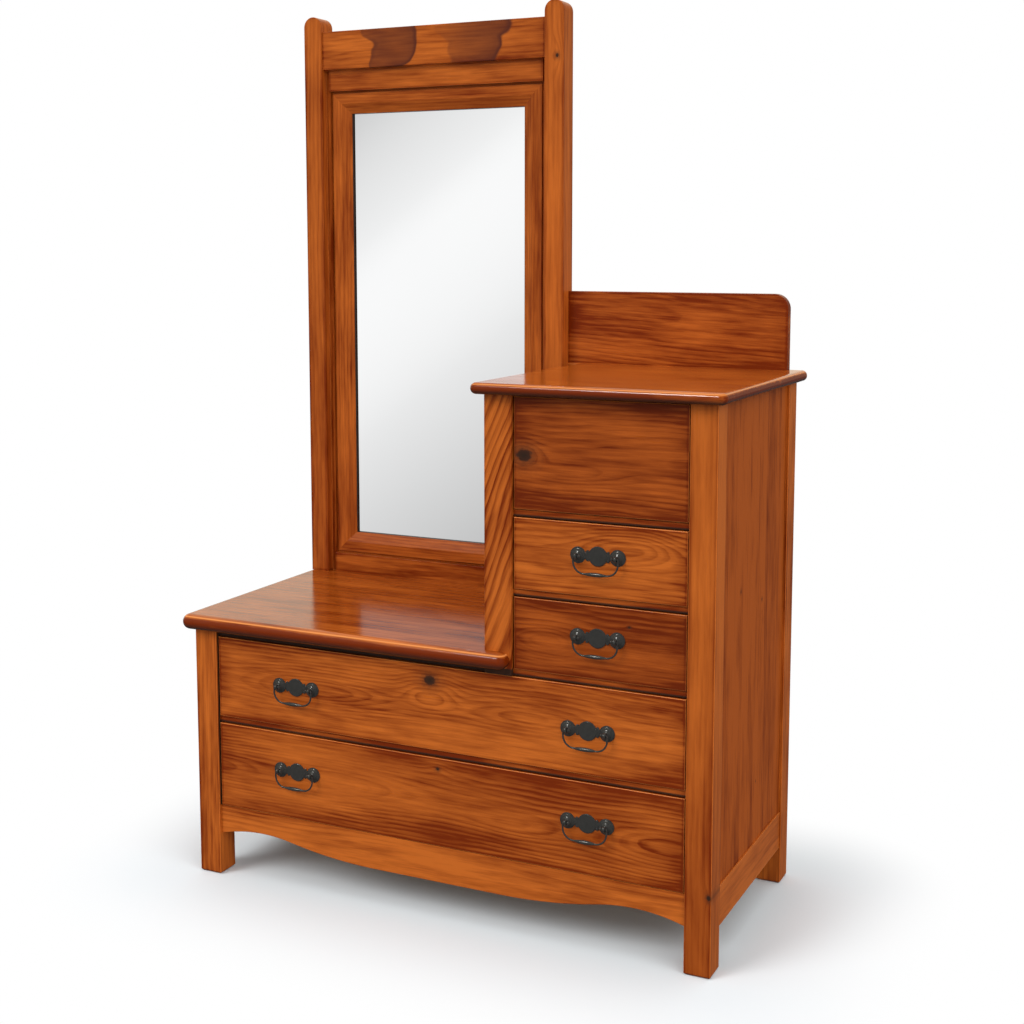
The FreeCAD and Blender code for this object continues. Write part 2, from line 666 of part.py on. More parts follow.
keep(
    sawn(
        "hat_box_floor",
        "XY",
        [
            (TOWER_INSIDE, FRONT_LEGS),
            (TOWER_POST, FRONT_LEGS),
            (TOWER_POST, RAIL_BACK),
            (RIGHT_LEG, RAIL_BACK),
            (RIGHT_LEG, FRONT_LEGS),
            (RIGHT_PANEL, FRONT_LEGS),
            (RIGHT_PANEL, REAR_LEGS),
            (RIGHT_LEG, REAR_LEGS),
            (RIGHT_LEG, REAR_RAIL_BACK),
            (TOWER_INSIDE, REAR_RAIL_BACK),
        ],
        "rail_thickness",
        z=f"{HAT_BOX_LEVEL} - rail_thickness",
    )
)

# ---------------------------------------------------------------------------------------------------------
# Tops, with a full round nose on every free edge, and the backboards that stand on them
# ---------------------------------------------------------------------------------------------------------
TOP_LEFT = f"{LEFT} - side_overhang"
TOP_RIGHT = f"{RIGHT} + side_overhang"
HIGH_TOP_LEFT = f"{TOWER} - side_overhang"
MIRROR_LEFT = f"{LEFT} - mirror_overhang"
MIRROR_RIGHT = f"{MIRROR_LEFT} + mirror_width"
BOARD_FRONT = f"{BACK} - backboard_thickness"


def overhanging(box):
    """Edges of a top's upper and lower faces that reach in front of the legs: all but those at the back."""
    return near(box.ZLength, 0) and box.YMin < value(f"{FRONT} - arris")


low_top = keep(
    sawn(
        "low_top",
        "XY",
        [
            (TOP_LEFT, NOSE),
            (f"{TOWER} + tongue_length", NOSE),
            (f"{TOWER} + tongue_length", FRONT),
            (TOWER, FRONT),
            (TOWER, BACK),
            (TOP_LEFT, BACK),
        ],
        "low_top_thickness",
        z=LOW_UNDERSIDE,
    )
)
# Under the upper backboard's left end, an ear of the upper top reaches the mirror's right post.
upper_top = keep(
    sawn(
        "upper_top",
        "XY",
        [
            (HIGH_TOP_LEFT, NOSE),
            (TOP_RIGHT, NOSE),
            (TOP_RIGHT, BACK),
            (MIRROR_RIGHT, BACK),
            (MIRROR_RIGHT, BOARD_FRONT),
            (HIGH_TOP_LEFT, BOARD_FRONT),
        ],
        "upper_top_thickness",
        z=HIGH_UNDERSIDE,
    )
)
for top, name in ((low_top, "low_top"), (upper_top, "upper_top")):
    soften(top, "Fillet", f"{name}_corner", lambda box: upright(box) and near(box.YMin, value(NOSE)))
    soften(top, "Fillet", f"{name}_nose", overhanging)
bush_seat_sketch = new_sketch(upper_top, "XY")
circle(bush_seat_sketch, PIVOT_X, PIVOT_Y, "pivot_bush_radius")
pocket(upper_top, bush_seat_sketch, "pivot_depth", forwards=True)

LOW_BOARD_TOP = "low_height + lower_backboard_height"
HIGH_BOARD_TOP = "high_height + upper_backboard_height"
HIGH_BOARD_END = f"{RIGHT} - upper_backboard_inset"
lower_backboard_blank = sawn(
    "lower_backboard_blank",
    "XZ",
    [
        (TOP_LEFT, "low_height"),
        (TOWER, "low_height"),
        (TOWER, LOW_BOARD_TOP),
        (f"{TOP_LEFT} + lower_backboard_corner", LOW_BOARD_TOP, "lower_backboard_corner"),
        (TOP_LEFT, f"{LOW_BOARD_TOP} - lower_backboard_corner"),
    ],
    "backboard_thickness",
    y=BACK,
)
upper_backboard = keep(
    sawn(
        "upper_backboard",
        "XZ",
        [
            (MIRROR_RIGHT, "high_height"),
            (HIGH_BOARD_END, "high_height"),
            (HIGH_BOARD_END, f"{HIGH_BOARD_TOP} - upper_backboard_corner", "upper_backboard_corner"),
            (f"{HIGH_BOARD_END} - upper_backboard_corner", HIGH_BOARD_TOP),
            (MIRROR_RIGHT, HIGH_BOARD_TOP),
        ],
        "backboard_thickness",
        y=BACK,
    )
)
soften(
    upper_backboard,
    "Fillet",
    "arris",
    lambda box: near(box.YLength, 0) and box.ZMax > value("high_height + arris"),
)

# ---------------------------------------------------------------------------------------------------------
# Mirror: two posts let over the lower backboard and screwed through it, rails, stiles and a mitred frame
# ---------------------------------------------------------------------------------------------------------
def post_screw(name, grow):
    """A countersunk screw that points to the front, or with a little growth the hole for it."""
    radius = f"post_screw_radius + {grow}"
    head = f"post_screw_head + {grow}"
    return turned(
        name,
        [
            ("0", "0"),
            ("0", head),
            (f"-({head} - ({radius}))", radius),
            (f"-(post_screw_length + {grow})", radius),
            (f"-(post_screw_length + {grow})", "0"),
        ],
    )


def at_post_screws(source):
    spots = [
        (middle, height)
        for middle in (f"{MIRROR_LEFT} + mirror_post_width / 2", f"{MIRROR_RIGHT} - mirror_post_width / 2")
        for height in ("low_height + post_screw_inset", f"{LOW_BOARD_TOP} - post_screw_inset")
    ]
    return [copy_of(source, f"{source.Name}_{n}", x, BACK, z) for n, (x, z) in enumerate(spots, start=1)]


keep(group("mirror_post_screws", at_post_screws(post_screw("post_screw", "0"))))
post_screw_holes = group("post_screw_holes", at_post_screws(post_screw("post_screw_hole", "screw_clearance")))
keep(cut("lower_backboard", lower_backboard_blank, post_screw_holes))


def mirror_post(name, x):
    arch = "mirror_post_width / 2"
    body = sawn(
        f"{name}_blank",
        "XZ",
        [
            ("0", "low_height"),
            ("mirror_post_width", "low_height"),
            ("mirror_post_width", f"mirror_height - {arch}", arch),
            (arch, "mirror_height", arch),
            ("0", f"mirror_height - {arch}"),
        ],
        "mirror_post_depth",
        x=x,
        y=BACK,
    )
    notch = new_sketch(body, "YZ")
    outline(notch, rectangle(("-backboard_thickness", "0"), ("low_height", LOW_BOARD_TOP)))
    pocket(body, notch)
    above_board = value(f"{LOW_BOARD_TOP} + arris")
    soften(body, "Fillet", "arris", lambda box: near(box.YLength, 0) and box.ZMax > above_board)
    return keep(cut(name, body, post_screw_holes))


mirror_post("left_mirror_post", MIRROR_LEFT)
mirror_post("right_mirror_post", f"{MIRROR_RIGHT} - mirror_post_width")

POSTS_FRONT = f"{BACK} - mirror_post_depth"
between_posts = (f"{MIRROR_LEFT} + mirror_post_width", f"{MIRROR_RIGHT} - mirror_post_width")
between_stiles = (f"{between_posts[0]} + stile_width", f"{between_posts[1]} - stile_width")
rail_face = f"{POSTS_FRONT} + frame_rail_setback"
keep(
    eased(
        "crest_rail",
        between_posts,
        (f"{POSTS_FRONT} + crest_setback", f"{POSTS_FRONT} + crest_setback + frame_rail_thickness"),
        ("crest_bottom", "crest_top"),
        lambda box: box.XLength > value("mirror_post_width"),
    )
)
top_rail_depth = (rail_face, f"{rail_face} + frame_rail_thickness")
keep(board("mirror_top_rail", between_stiles, top_rail_depth, ("frame_top", "crest_bottom")))
keep(
    eased(
        "mirror_bottom_rail",
        between_stiles,
        (rail_face, BOARD_FRONT),
        ("low_height", "frame_bottom"),
        lambda box: box.XLength > value("mirror_post_width")
        and near(box.ZMin, value("frame_bottom"))
        and box.YMax < value("-arris"),
    )
)


def mirror_stile(name, x):
    """A narrow upright between a post and the moulded frame, let over the backboard."""
    face = f"{POSTS_FRONT} + stile_setback"
    rear = f"{BACK} - frame_back"
    corners = [
        (face, "low_height"),
        (BOARD_FRONT, "low_height"),
        (BOARD_FRONT, LOW_BOARD_TOP),
        (rear, LOW_BOARD_TOP),
        (rear, "crest_bottom"),
        (face, "crest_bottom"),
    ]
    return sawn(name, "YZ", corners, "stile_width", x=x)


keep(
    group(
        "mirror_stiles",
        [mirror_stile("left_stile", between_posts[0]), mirror_stile("right_stile", between_stiles[1])],
    )
)


def moulding_length(name, length, x, z, turn):
    """One mitred length of the moulded frame, made along X with its outer edge down, then turned about Y."""
    body = doc.addObject("PartDesign::Body", name)
    body.Placement = FreeCAD.Placement(Vector(0, 0, 0), FreeCAD.Rotation(Vector(0, 1, 0), turn))
    place(body, x, f"{BACK} - frame_back", z)
    rebate = "moulding_width - rebate_width"
    section = new_sketch(body, "YZ")
    outline(
        section,
        [
            ("-moulding_step_depth", "0"),
            ("0", "0"),
            ("0", rebate),
            ("-rebate_depth", rebate),
            ("-rebate_depth", "moulding_width"),
            ("-moulding_lip_depth", "moulding_width"),
            ("-moulding_depth", "moulding_ridge"),
            ("-moulding_depth", "moulding_step"),
            ("-moulding_step_depth", "moulding_step"),
        ],
    )
    pad(body, section, length)
    mitres = new_sketch(body, "XZ")
    past = "moulding_step"
    beyond = f"moulding_width + {past}"
    end = f"{length} + {past}"
    outline(mitres, [(f"-{past}", f"-{past}"), (beyond, beyond), (f"-{past}", beyond)])
    outline(mitres, [(end, f"-{past}"), (end, beyond), (f"{length} - ({beyond})", beyond)])
    pocket(body, mitres)
    return body


REBATE = "moulding_width - rebate_width"
GLASS_X = (f"{between_stiles[0]} + {REBATE}", f"{between_stiles[1]} - ({REBATE})")
GLASS_Z = (f"frame_bottom + {REBATE}", f"frame_top - ({REBATE})")
FRAME_REAR = f"{BACK} - frame_back"


def at_clips(upright_source, level_source, offset="0"):
    """Copies at two places on each side of the frame, centred on the edge of the rebate or moved outwards."""
    copies = []
    for share in ("clip_share", "(1 - clip_share)"):
        x = f"{GLASS_X[0]} + ({GLASS_X[1]} - ({GLASS_X[0]})) * {share}"
        z = f"{GLASS_Z[0]} + ({GLASS_Z[1]} - ({GLASS_Z[0]})) * {share}"
        spots = [
            (level_source, f"{GLASS_X[0]} - {offset}", z),
            (level_source, f"{GLASS_X[1]} + {offset}", z),
            (upright_source, x, f"{GLASS_Z[0]} - {offset}"),
            (upright_source, x, f"{GLASS_Z[1]} + {offset}"),
        ]
        for source, clip_x, clip_z in spots:
            copies.append(copy_of(source, f"{source.Name}_copy", clip_x, FRAME_REAR, clip_z))
    return copies


def clip_screw(name, grow, head):
    """A small screw that points to the front from the face of a clip."""
    return turned(
        name,
        [
            ("clip_thickness", "0"),
            ("frame_back", "0"),
            ("frame_back", head),
            ("clip_thickness", head),
            ("clip_thickness", f"clip_screw_radius + {grow}"),
            (f"clip_thickness - clip_screw_length - {grow}", f"clip_screw_radius + {grow}"),
            (f"clip_thickness - clip_screw_length - {grow}", "0"),
        ],
    )


clip_screws = clip_screw("clip_screw", "0", "clip_screw_head")
clip_holes = clip_screw("clip_screw_hole", "screw_clearance", "clip_screw_head")
clip_hole_group = group("clip_holes", at_clips(clip_holes, clip_holes, "clip_hole_offset"))


def clip(name, size_x, size_z):
    half_x, half_z = f"{size_x} / 2", f"{size_z} / 2"
    return board(name, (f"-{half_x}", half_x), ("0", "clip_thickness"), (f"-{half_z}", half_z))


level_clip = clip("level_clip", "clip_length", "clip_width")
upright_clip = clip("upright_clip", "clip_width", "clip_length")
clips = cut("clips", group("clip_blanks", at_clips(upright_clip, level_clip)), clip_hole_group)
keep(group("backing_clips", [clips] + at_clips(clip_screws, clip_screws, "clip_hole_offset")))

FRAME_WIDTH = f"({between_stiles[1]}) - ({between_stiles[0]})"
FRAME_HEIGHT = "frame_top - frame_bottom"
sill = moulding_length("sill_moulding", FRAME_WIDTH, between_stiles[0], "frame_bottom", 0)
head = moulding_length("head_moulding", FRAME_WIDTH, between_stiles[1], "frame_top", 180)
left_moulding = moulding_length("left_moulding", FRAME_HEIGHT, between_stiles[0], "frame_top", 90)
right_moulding = moulding_length("right_moulding", FRAME_HEIGHT, between_stiles[1], "frame_bottom", -90)
keep(cut("moulding_rails", group("moulding_rail_blanks", [sill, head]), clip_hole_group))
keep(cut("moulding_stiles", group("moulding_stile_blanks", [left_moulding, right_moulding]), clip_hole_group))

GLASS_FRONT = f"{FRAME_REAR} - rebate_depth"
keep(board("mirror_glass", GLASS_X, (GLASS_FRONT, f"{GLASS_FRONT} + glass_thickness"), GLASS_Z))
keep(board("mirror_backing", GLASS_X, (f"{GLASS_FRONT} + glass_thickness", FRAME_REAR), GLASS_Z))


# ---------------------------------------------------------------------------------------------------------
# Drawer pulls: a flat back plate, two bolted posts with pierced heads, and a bail that swings in them
# ---------------------------------------------------------------------------------------------------------
def through_hole(body, x, radius, z="0"):
    sketch = new_sketch(body, "XZ")
    circle(sketch, x, z, radius)
    pocket(body, sketch)


BOLT_HOLE = "bolt_radius + screw_clearance"
plate = new_body("pull_plate")
neck = new_sketch(plate, "XZ")
outline(neck, rectangle(("-pull_spacing / 2", "pull_spacing / 2"), ("-neck_height / 2", "neck_height / 2")))
pad(plate, neck, "plate_thickness")
for disc_x, disc_radius in (
    ("-pull_spacing / 2", "rosette_radius"),
    ("pull_spacing / 2", "rosette_radius"),
    ("0", "roundel_radius"),
):
    disc = new_sketch(plate, "XZ")
    circle(disc, disc_x, "0", disc_radius)
    pad(plate, disc, "plate_thickness")
soften(plate, "Chamfer", "plate_bevel", lambda box: near(box.YMax, -value("plate_thickness")))
through_hole(plate, "-pull_spacing / 2", BOLT_HOLE)
through_hole(plate, "pull_spacing / 2", BOLT_HOLE)

HEAD_START = "sqrt(post_head_radius ^ 2 - post_neck_radius ^ 2) - bail_reach"
BOLT_END = "front_thickness + nut_thickness + bolt_end"
post = turned(
    "pull_post",
    [
        (BOLT_END, "0"),
        (BOLT_END, "bolt_radius"),
        ("-plate_thickness", "bolt_radius"),
        ("-plate_thickness", "collar_radius"),
        ("-(plate_thickness + collar_height)", "collar_radius"),
        ("-(plate_thickness + collar_height + collar_slope)", "post_neck_radius"),
        (HEAD_START, "post_neck_radius", "post_head_radius"),
        ("-(bail_reach + post_head_radius)", "0"),
    ],
)
flats = new_sketch(post, "XY")
for near_side, far_side in (("eye_width / 2", "collar_radius"), ("-collar_radius", "-eye_width / 2")):
    outline(flats, rectangle((near_side, far_side), ("-(bail_reach + collar_radius)", HEAD_START)))
pocket(post, flats)
eye = new_sketch(post, "YZ")
circle(eye, "-bail_reach", "0", "bail_wire_radius + eye_clearance")
pocket(post, eye)

nut_corners = [
    (f"nut_radius * cos({60 * corner})", f"nut_radius * sin({60 * corner})") for corner in range(6)
]
nut = sawn("pull_nut", "XZ", nut_corners, "nut_thickness", y="front_thickness + nut_thickness")
through_hole(nut, "0", BOLT_HOLE)


def pull_pieces(drawer, x, z):
    """The fixed pieces of one pull on a drawer's front."""
    face = f"{FRONT} + front_setback"
    pieces = [copy_of(plate, f"{drawer}_plate", x, face, z)]
    for side in ("-", "+"):
        bolt_x = f"{x} {side} pull_spacing / 2"
        pieces.append(copy_of(post, f"{drawer}_post", bolt_x, face, z))
        pieces.append(copy_of(nut, f"{drawer}_nut", bolt_x, face, z))
    return pieces


def make_bail(name, x, z):
    """A drop handle: wire bent through both posts, thicker where it is held, with a round end inside each."""
    body = new_body(name, x, f"{FRONT} + front_setback - bail_reach", z)
    side = "(pull_spacing / 2 + eye_width / 2 + bail_side_gap + bail_wire_radius)"
    inner = "(pull_spacing / 2 - eye_width / 2 - bail_side_gap - bulb_radius)"
    line = new_sketch(body, "XZ")
    outline(
        line,
        [
            (f"-{inner}", "0"),
            (f"bail_bend - {side}", "0", "bail_bend"),
            (f"-{side}", "-bail_bend"),
            (f"-{side}", "bail_corner - bail_drop", "bail_corner"),
            (f"bail_corner - {side}", "-bail_drop"),
            (f"{side} - bail_corner", "-bail_drop", "bail_corner"),
            (side, "bail_corner - bail_drop"),
            (side, "-bail_bend", "bail_bend"),
            (f"{side} - bail_bend", "0"),
            (inner, "0"),
        ],
        closed=False,
    )
    section = new_sketch(body, "YZ", lift=f"-{inner}")
    circle(section, "0", "0", "bail_wire_radius")
    wire = body.newObject("PartDesign::AdditivePipe", f"{name}_wire")
    wire.Profile = section
    wire.Spine = (line, [f"Edge{n}" for n in range(1, line.GeometryCount + 1)])
    body.Tip = wire
    swell = "(grip_radius - grip_end_radius)"
    grip = new_sketch(body, "XZ", raised="-bail_drop")
    outline(
        grip,
        [
            ("-grip_length / 2", "0"),
            ("grip_length / 2", "0"),
            ("grip_length / 2", "grip_end_radius", f"((grip_length / 2) ^ 2 + {swell} ^ 2) / (2 * {swell})"),
            ("-grip_length / 2", "grip_end_radius"),
        ],
    )
    revolve(body, grip)
    bulbs = new_sketch(body, "XZ")
    for middle in (f"-{inner}", inner):
        outline(
            bulbs,
            [
                (f"{middle} - bulb_radius", "0"),
                (f"{middle} + bulb_radius", "0", "bulb_radius"),
                (middle, "bulb_radius", "bulb_radius"),
            ],
        )
    revolve(body, bulbs)
    return keep(body)


# ---------------------------------------------------------------------------------------------------------
# Drawers: a front, two sides and a back, round a bottom that is held in grooves
# ---------------------------------------------------------------------------------------------------------
def make_drawer(name, left, level, front_height, pull_rise, pulls):
    """A drawer between an opening's left side and the right leg. Pulls are (name, place across)."""
    front_z = (f"{level} + foot_gap", f"{level} + foot_gap + {front_height}")
    pull_z = f"{front_z[0]} + {pull_rise}"
    box_left = f"{left} + side_gap + drawer_inset"
    box_right = f"{RIGHT_LEG} - side_gap - drawer_inset"
    box_back = f"{FRONTS_BACK} + drawer_length"
    side_z = (level, f"{front_z[1]} - side_drop")
    bottom_z = (f"{level} + bottom_lift", f"{level} + bottom_lift + bottom_thickness")

    front = sawn(
        f"{name}_front",
        "XZ",
        rectangle((f"{left} + side_gap", f"{RIGHT_LEG} - side_gap"), front_z),
        "front_thickness",
        y=FRONTS_BACK,
    )
    soften(front, "Fillet", "arris", lambda box: near(box.YMax, -value("front_thickness")))
    groove = new_sketch(front, "YZ")
    outline(groove, rectangle(("-groove_depth", "0"), bottom_z))
    pocket(front, groove)
    for _, x in pulls:
        for side in ("-", "+"):
            through_hole(front, f"{x} {side} pull_spacing / 2", BOLT_HOLE, pull_z)
    keep(front)

    bottom = board(
        f"{name}_bottom",
        (f"{box_left} + drawer_side - groove_depth", f"{box_right} - drawer_side + groove_depth"),
        (f"{FRONTS_BACK} - groove_depth", box_back),
        bottom_z,
    )
    keep(bottom)
    side_depth = (FRONTS_BACK, box_back)
    left_side = board(f"{name}_left_blank", (box_left, f"{box_left} + drawer_side"), side_depth, side_z)
    right_side = board(f"{name}_right_blank", (f"{box_right} - drawer_side", box_right), side_depth, side_z)
    back = board(
        f"{name}_back",
        (f"{box_left} + drawer_side", f"{box_right} - drawer_side"),
        (f"{box_back} - drawer_side", box_back),
        (bottom_z[1], f"{side_z[1]} - back_drop"),
    )
    sides = [cut(f"{name}_left_side", left_side, bottom), cut(f"{name}_right_side", right_side, bottom)]
    keep(group(f"{name}_box", sides + [back]))

    fixed = []
    for pull, x in pulls:
        fixed += pull_pieces(name, x, pull_z)
        make_bail(f"{name}_{pull}", x, pull_z)
    keep(group(f"{name}_pulls", fixed))


wide_pulls = [("left_bail", "-pull_wide_offset"), ("right_bail", "pull_wide_offset")]
small_pulls = [("bail", "pull_small_x")]
make_drawer("bottom_drawer", LEFT_LEG, BOTTOM_LEVEL, "bottom_front_height", "pull_rise_bottom", wide_pulls)
make_drawer("middle_drawer", LEFT_LEG, MIDDLE_LEVEL, "middle_front_height", "pull_rise_middle", wide_pulls)
make_drawer(
    "lower_small_drawer", TOWER_POST, TOWER_LEVEL, "lower_small_height", "pull_rise_lower_small", small_pulls
)
make_drawer(
    "upper_small_drawer", TOWER_POST, UPPER_LEVEL, "upper_small_height", "pull_rise_upper_small", small_pulls
)

# ---------------------------------------------------------------------------------------------------------
# Hat box: a plain door that turns on two hidden pivots, held by a touch latch under the upper top
# ---------------------------------------------------------------------------------------------------------
DOOR_BACK = f"{FRONT} + front_setback + door_thickness"
DOOR_FOOT = f"{HAT_BOX_LEVEL} + door_foot_gap"
DOOR_HEAD = f"{HIGH_UNDERSIDE} - door_head_gap"
door = sawn(
    "hat_box_door",
    "XZ",
    rectangle((f"{TOWER_POST} + side_gap", f"{RIGHT_LEG} - side_gap"), (DOOR_FOOT, DOOR_HEAD)),
    "door_thickness",
    y=DOOR_BACK,
)
soften(door, "Fillet", "arris", lambda box: near(box.YMax, -value("door_thickness")))
for pin_level, upwards in ((DOOR_FOOT, True), (DOOR_HEAD, False)):
    pin_hole = new_sketch(door, "XY", lift=pin_level)
    circle(pin_hole, PIVOT_X, "-door_thickness / 2", "pivot_radius")
    pocket(door, pin_hole, "pin_depth", forwards=upwards)
keep(door)

PIN_REACH = "(pivot_depth - foot_gap)"
keep(
    group(
        "door_pivot_pins",
        [
            cylinder(
                "lower_pivot_pin",
                "pivot_radius",
                f"{PIN_REACH} + door_foot_gap + pin_depth",
                PIVOT_X,
                PIVOT_Y,
                f"{HAT_BOX_LEVEL} - {PIN_REACH}",
            ),
            cylinder(
                "upper_pivot_pin",
                "pivot_radius",
                f"pin_depth + door_head_gap + {PIN_REACH}",
                PIVOT_X,
                PIVOT_Y,
                f"{DOOR_HEAD} - pin_depth",
            ),
        ],
    )
)


def pivot_bush(name, seat, flange):
    """A flanged bush: its barrel starts at the seat, and its flange at the place given."""
    barrel = cylinder(f"{name}_barrel", "pivot_bush_radius", "pivot_depth", PIVOT_X, PIVOT_Y, seat)
    rim = cylinder(f"{name}_rim", "pivot_flange_radius", "door_foot_gap", PIVOT_X, PIVOT_Y, flange)
    bore = cylinder(
        f"{name}_bore",
        "pivot_radius + pivot_clearance",
        "pivot_depth + door_foot_gap",
        PIVOT_X,
        PIVOT_Y,
        f"min({seat}; {flange})",
    )
    return cut(name, fuse(f"{name}_blank", [barrel, rim]), bore)


keep(
    group(
        "door_pivot_bushes",
        [
            pivot_bush("lower_bush", LOWER_BUSH_SEAT, HAT_BOX_LEVEL),
            pivot_bush("upper_bush", HIGH_UNDERSIDE, f"{HIGH_UNDERSIDE} - door_foot_gap"),
        ],
    )
)

LATCH_X = f"{TOWER_POST} + side_gap + latch_inset"
PLUNGER_Z = f"{HIGH_UNDERSIDE} - plunger_drop"
PLUNGER_TIP = f"{DOOR_BACK} + striker_thickness"
LATCH_FACE = f"{PLUNGER_TIP} + plunger_travel + foot_gap"
latch_block = board(
    "latch_block",
    (f"{LATCH_X} - latch_width / 2", f"{LATCH_X} + latch_width / 2"),
    (LATCH_FACE, f"{LATCH_FACE} + latch_length"),
    (f"{HIGH_UNDERSIDE} - latch_height", HIGH_UNDERSIDE),
)
BORE_RADIUS = "plunger_radius + screw_clearance"
latch_bore = rod_along_y("latch_bore", BORE_RADIUS, "plunger_length", LATCH_X, LATCH_FACE, PLUNGER_Z)
keep(cut("door_latch", latch_block, latch_bore))
keep(rod_along_y("latch_plunger", "plunger_radius", "plunger_length", LATCH_X, PLUNGER_TIP, PLUNGER_Z))
keep(
    board(
        "door_striker",
        (f"{LATCH_X} - striker_size / 2", f"{LATCH_X} + striker_size / 2"),
        (DOOR_BACK, PLUNGER_TIP),
        (f"{PLUNGER_Z} - striker_size / 2", f"{PLUNGER_Z} + striker_size / 2"),
    )
)

# ---------------------------------------------------------------------------------------------------------
# Check every object, then write each piece
# ---------------------------------------------------------------------------------------------------------
doc.recompute()
for thing in doc.Objects:
    if "Invalid" in thing.State or "Error" in thing.State:
        raise RuntimeError(f"{thing.Label}: {thing.State}")

os.makedirs("parts", exist_ok=True)
for node in nodes:
    if node.Shape.isNull() or not node.Shape.isValid() or not node.Shape.Solids:
        raise RuntimeError(f"{node.Label}: no valid solid")
    node.Shape.exportStep(os.path.join("parts", f"{node.Label}.step"))
    print(f"{node.Label}: {len(node.Shape.Solids)} solids, {node.Shape.Volume / 1000:.1f} cm3")
print(len(nodes), "nodes")
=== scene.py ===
import math

import bpy
from mathutils import Matrix, Vector


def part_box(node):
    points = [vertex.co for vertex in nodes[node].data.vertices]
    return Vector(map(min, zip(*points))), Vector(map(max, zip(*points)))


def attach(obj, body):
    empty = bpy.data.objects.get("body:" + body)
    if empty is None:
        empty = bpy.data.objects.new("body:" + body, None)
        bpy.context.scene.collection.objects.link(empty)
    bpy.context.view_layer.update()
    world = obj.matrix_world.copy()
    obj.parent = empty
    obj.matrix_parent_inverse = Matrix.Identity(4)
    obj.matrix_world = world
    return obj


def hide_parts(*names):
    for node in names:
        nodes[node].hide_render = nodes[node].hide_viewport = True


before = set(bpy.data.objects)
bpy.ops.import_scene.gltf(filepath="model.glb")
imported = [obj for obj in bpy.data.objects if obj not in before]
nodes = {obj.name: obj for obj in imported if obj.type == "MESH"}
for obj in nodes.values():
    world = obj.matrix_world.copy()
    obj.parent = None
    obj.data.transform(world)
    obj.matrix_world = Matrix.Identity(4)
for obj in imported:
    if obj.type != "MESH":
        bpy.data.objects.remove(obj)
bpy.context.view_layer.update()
scene = bpy.context.scene

# ---------------------------------------------------------------------------------------------------------
# Camera, light and floor. The camera stands a little above the upper top and to the right of the tower,
# looking slightly down. Three soft lamps and a pale room light the wood over a seamless white floor, and a
# fourth lamp only glints in lacquer and metal.
# ---------------------------------------------------------------------------------------------------------
CAMERA_PLACE = (1.3265, -2.6711, 1.2870)
CAMERA_YAW = math.radians(25.541)
CAMERA_PITCH = math.radians(6.603)
CAMERA_LENS = 53.14
CAMERA_SENSOR = 36
CAMERA_SHIFT = -0.09

camera = bpy.data.objects.new("camera", bpy.data.cameras.new("camera"))
scene.collection.objects.link(camera)
camera.location = CAMERA_PLACE
camera.rotation_euler = (math.pi / 2 - CAMERA_PITCH, 0, CAMERA_YAW)
camera.data.lens = CAMERA_LENS
camera.data.sensor_width = CAMERA_SENSOR
camera.data.shift_y = CAMERA_SHIFT
scene.camera = camera
scene.view_settings.view_transform = "Standard"


def soft_lamp(name, towards, strength, breadth, glints=False):
    """A far lamp whose light comes from a direction, spread over a breadth in degrees. Only a lamp that
    glints shows in lacquer and metal, and it lights nothing else."""
    lamp = bpy.data.objects.new(name, bpy.data.lights.new(name, "SUN"))
    scene.collection.objects.link(lamp)
    lamp.rotation_euler = Vector(towards).to_track_quat("Z", "Y").to_euler()
    lamp.data.energy = strength
    lamp.data.angle = math.radians(breadth)
    lamp.visible_glossy = glints
    lamp.visible_diffuse = not glints


soft_lamp("key_lamp", (-2.4, -3.4, 3.2), 1.35, 28)
soft_lamp("fill_lamp", (3.0, -2.0, 1.7), 1.35, 60)
soft_lamp("top_lamp", (0.1, 0.3, 3.0), 0.75, 70)
soft_lamp("glint_lamp", (-1.6, -3.0, 3.6), 0.75, 12, glints=True)


def feed(tree, made, inputs):
    """Fills a node's inputs, by name or place, with values or the sockets that feed them."""
    for socket, source in dict(inputs).items():
        if isinstance(source, bpy.types.NodeSocket):
            tree.links.new(source, made.inputs[socket])
        else:
            made.inputs[socket].default_value = source


def node(tree, kind, inputs=(), **settings):
    """A shader node with its settings and inputs."""
    made = tree.nodes.new(kind)
    for name, setting in settings.items():
        setattr(made, name, setting)
    feed(tree, made, inputs)
    return made


def math_node(tree, operation, *values, clamp=False):
    """The output of a Math node, given its values or sockets."""
    return node(tree, "ShaderNodeMath", enumerate(values), operation=operation, use_clamp=clamp).outputs[0]


def vector_math(tree, operation, *values):
    """The vector that a Vector Math node gives, from its values or sockets."""
    return node(tree, "ShaderNodeVectorMath", enumerate(values), operation=operation).outputs[0]


def length_of(tree, vector):
    return node(tree, "ShaderNodeVectorMath", {0: vector}, operation="LENGTH").outputs["Value"]


def split(tree, place):
    """The X, Y and Z of a place."""
    return node(tree, "ShaderNodeSeparateXYZ", {0: place}).outputs


def eased(tree, value, start, end, first=0.0, last=1.0):
    """A number that turns smoothly from first to last while the value goes from start to end. A named fade
    holds these four numbers in this order."""
    inputs = {0: value, 1: start, 2: end, 3: first, 4: last}
    return node(tree, "ShaderNodeMapRange", inputs, interpolation_type="SMOOTHSTEP").outputs[0]


def chosen(tree, mask, off, on):
    """One number where the mask is 0 and another where it is 1."""
    return node(tree, "ShaderNodeMix", {0: mask, 2: off, 3: on}).outputs[0]


def mixed(tree, factor, first, second):
    """One colour turning into another."""
    made = node(tree, "ShaderNodeMix", data_type="RGBA")
    feed(tree, made, {0: factor, 6: first, 7: second})
    return made.outputs[2]


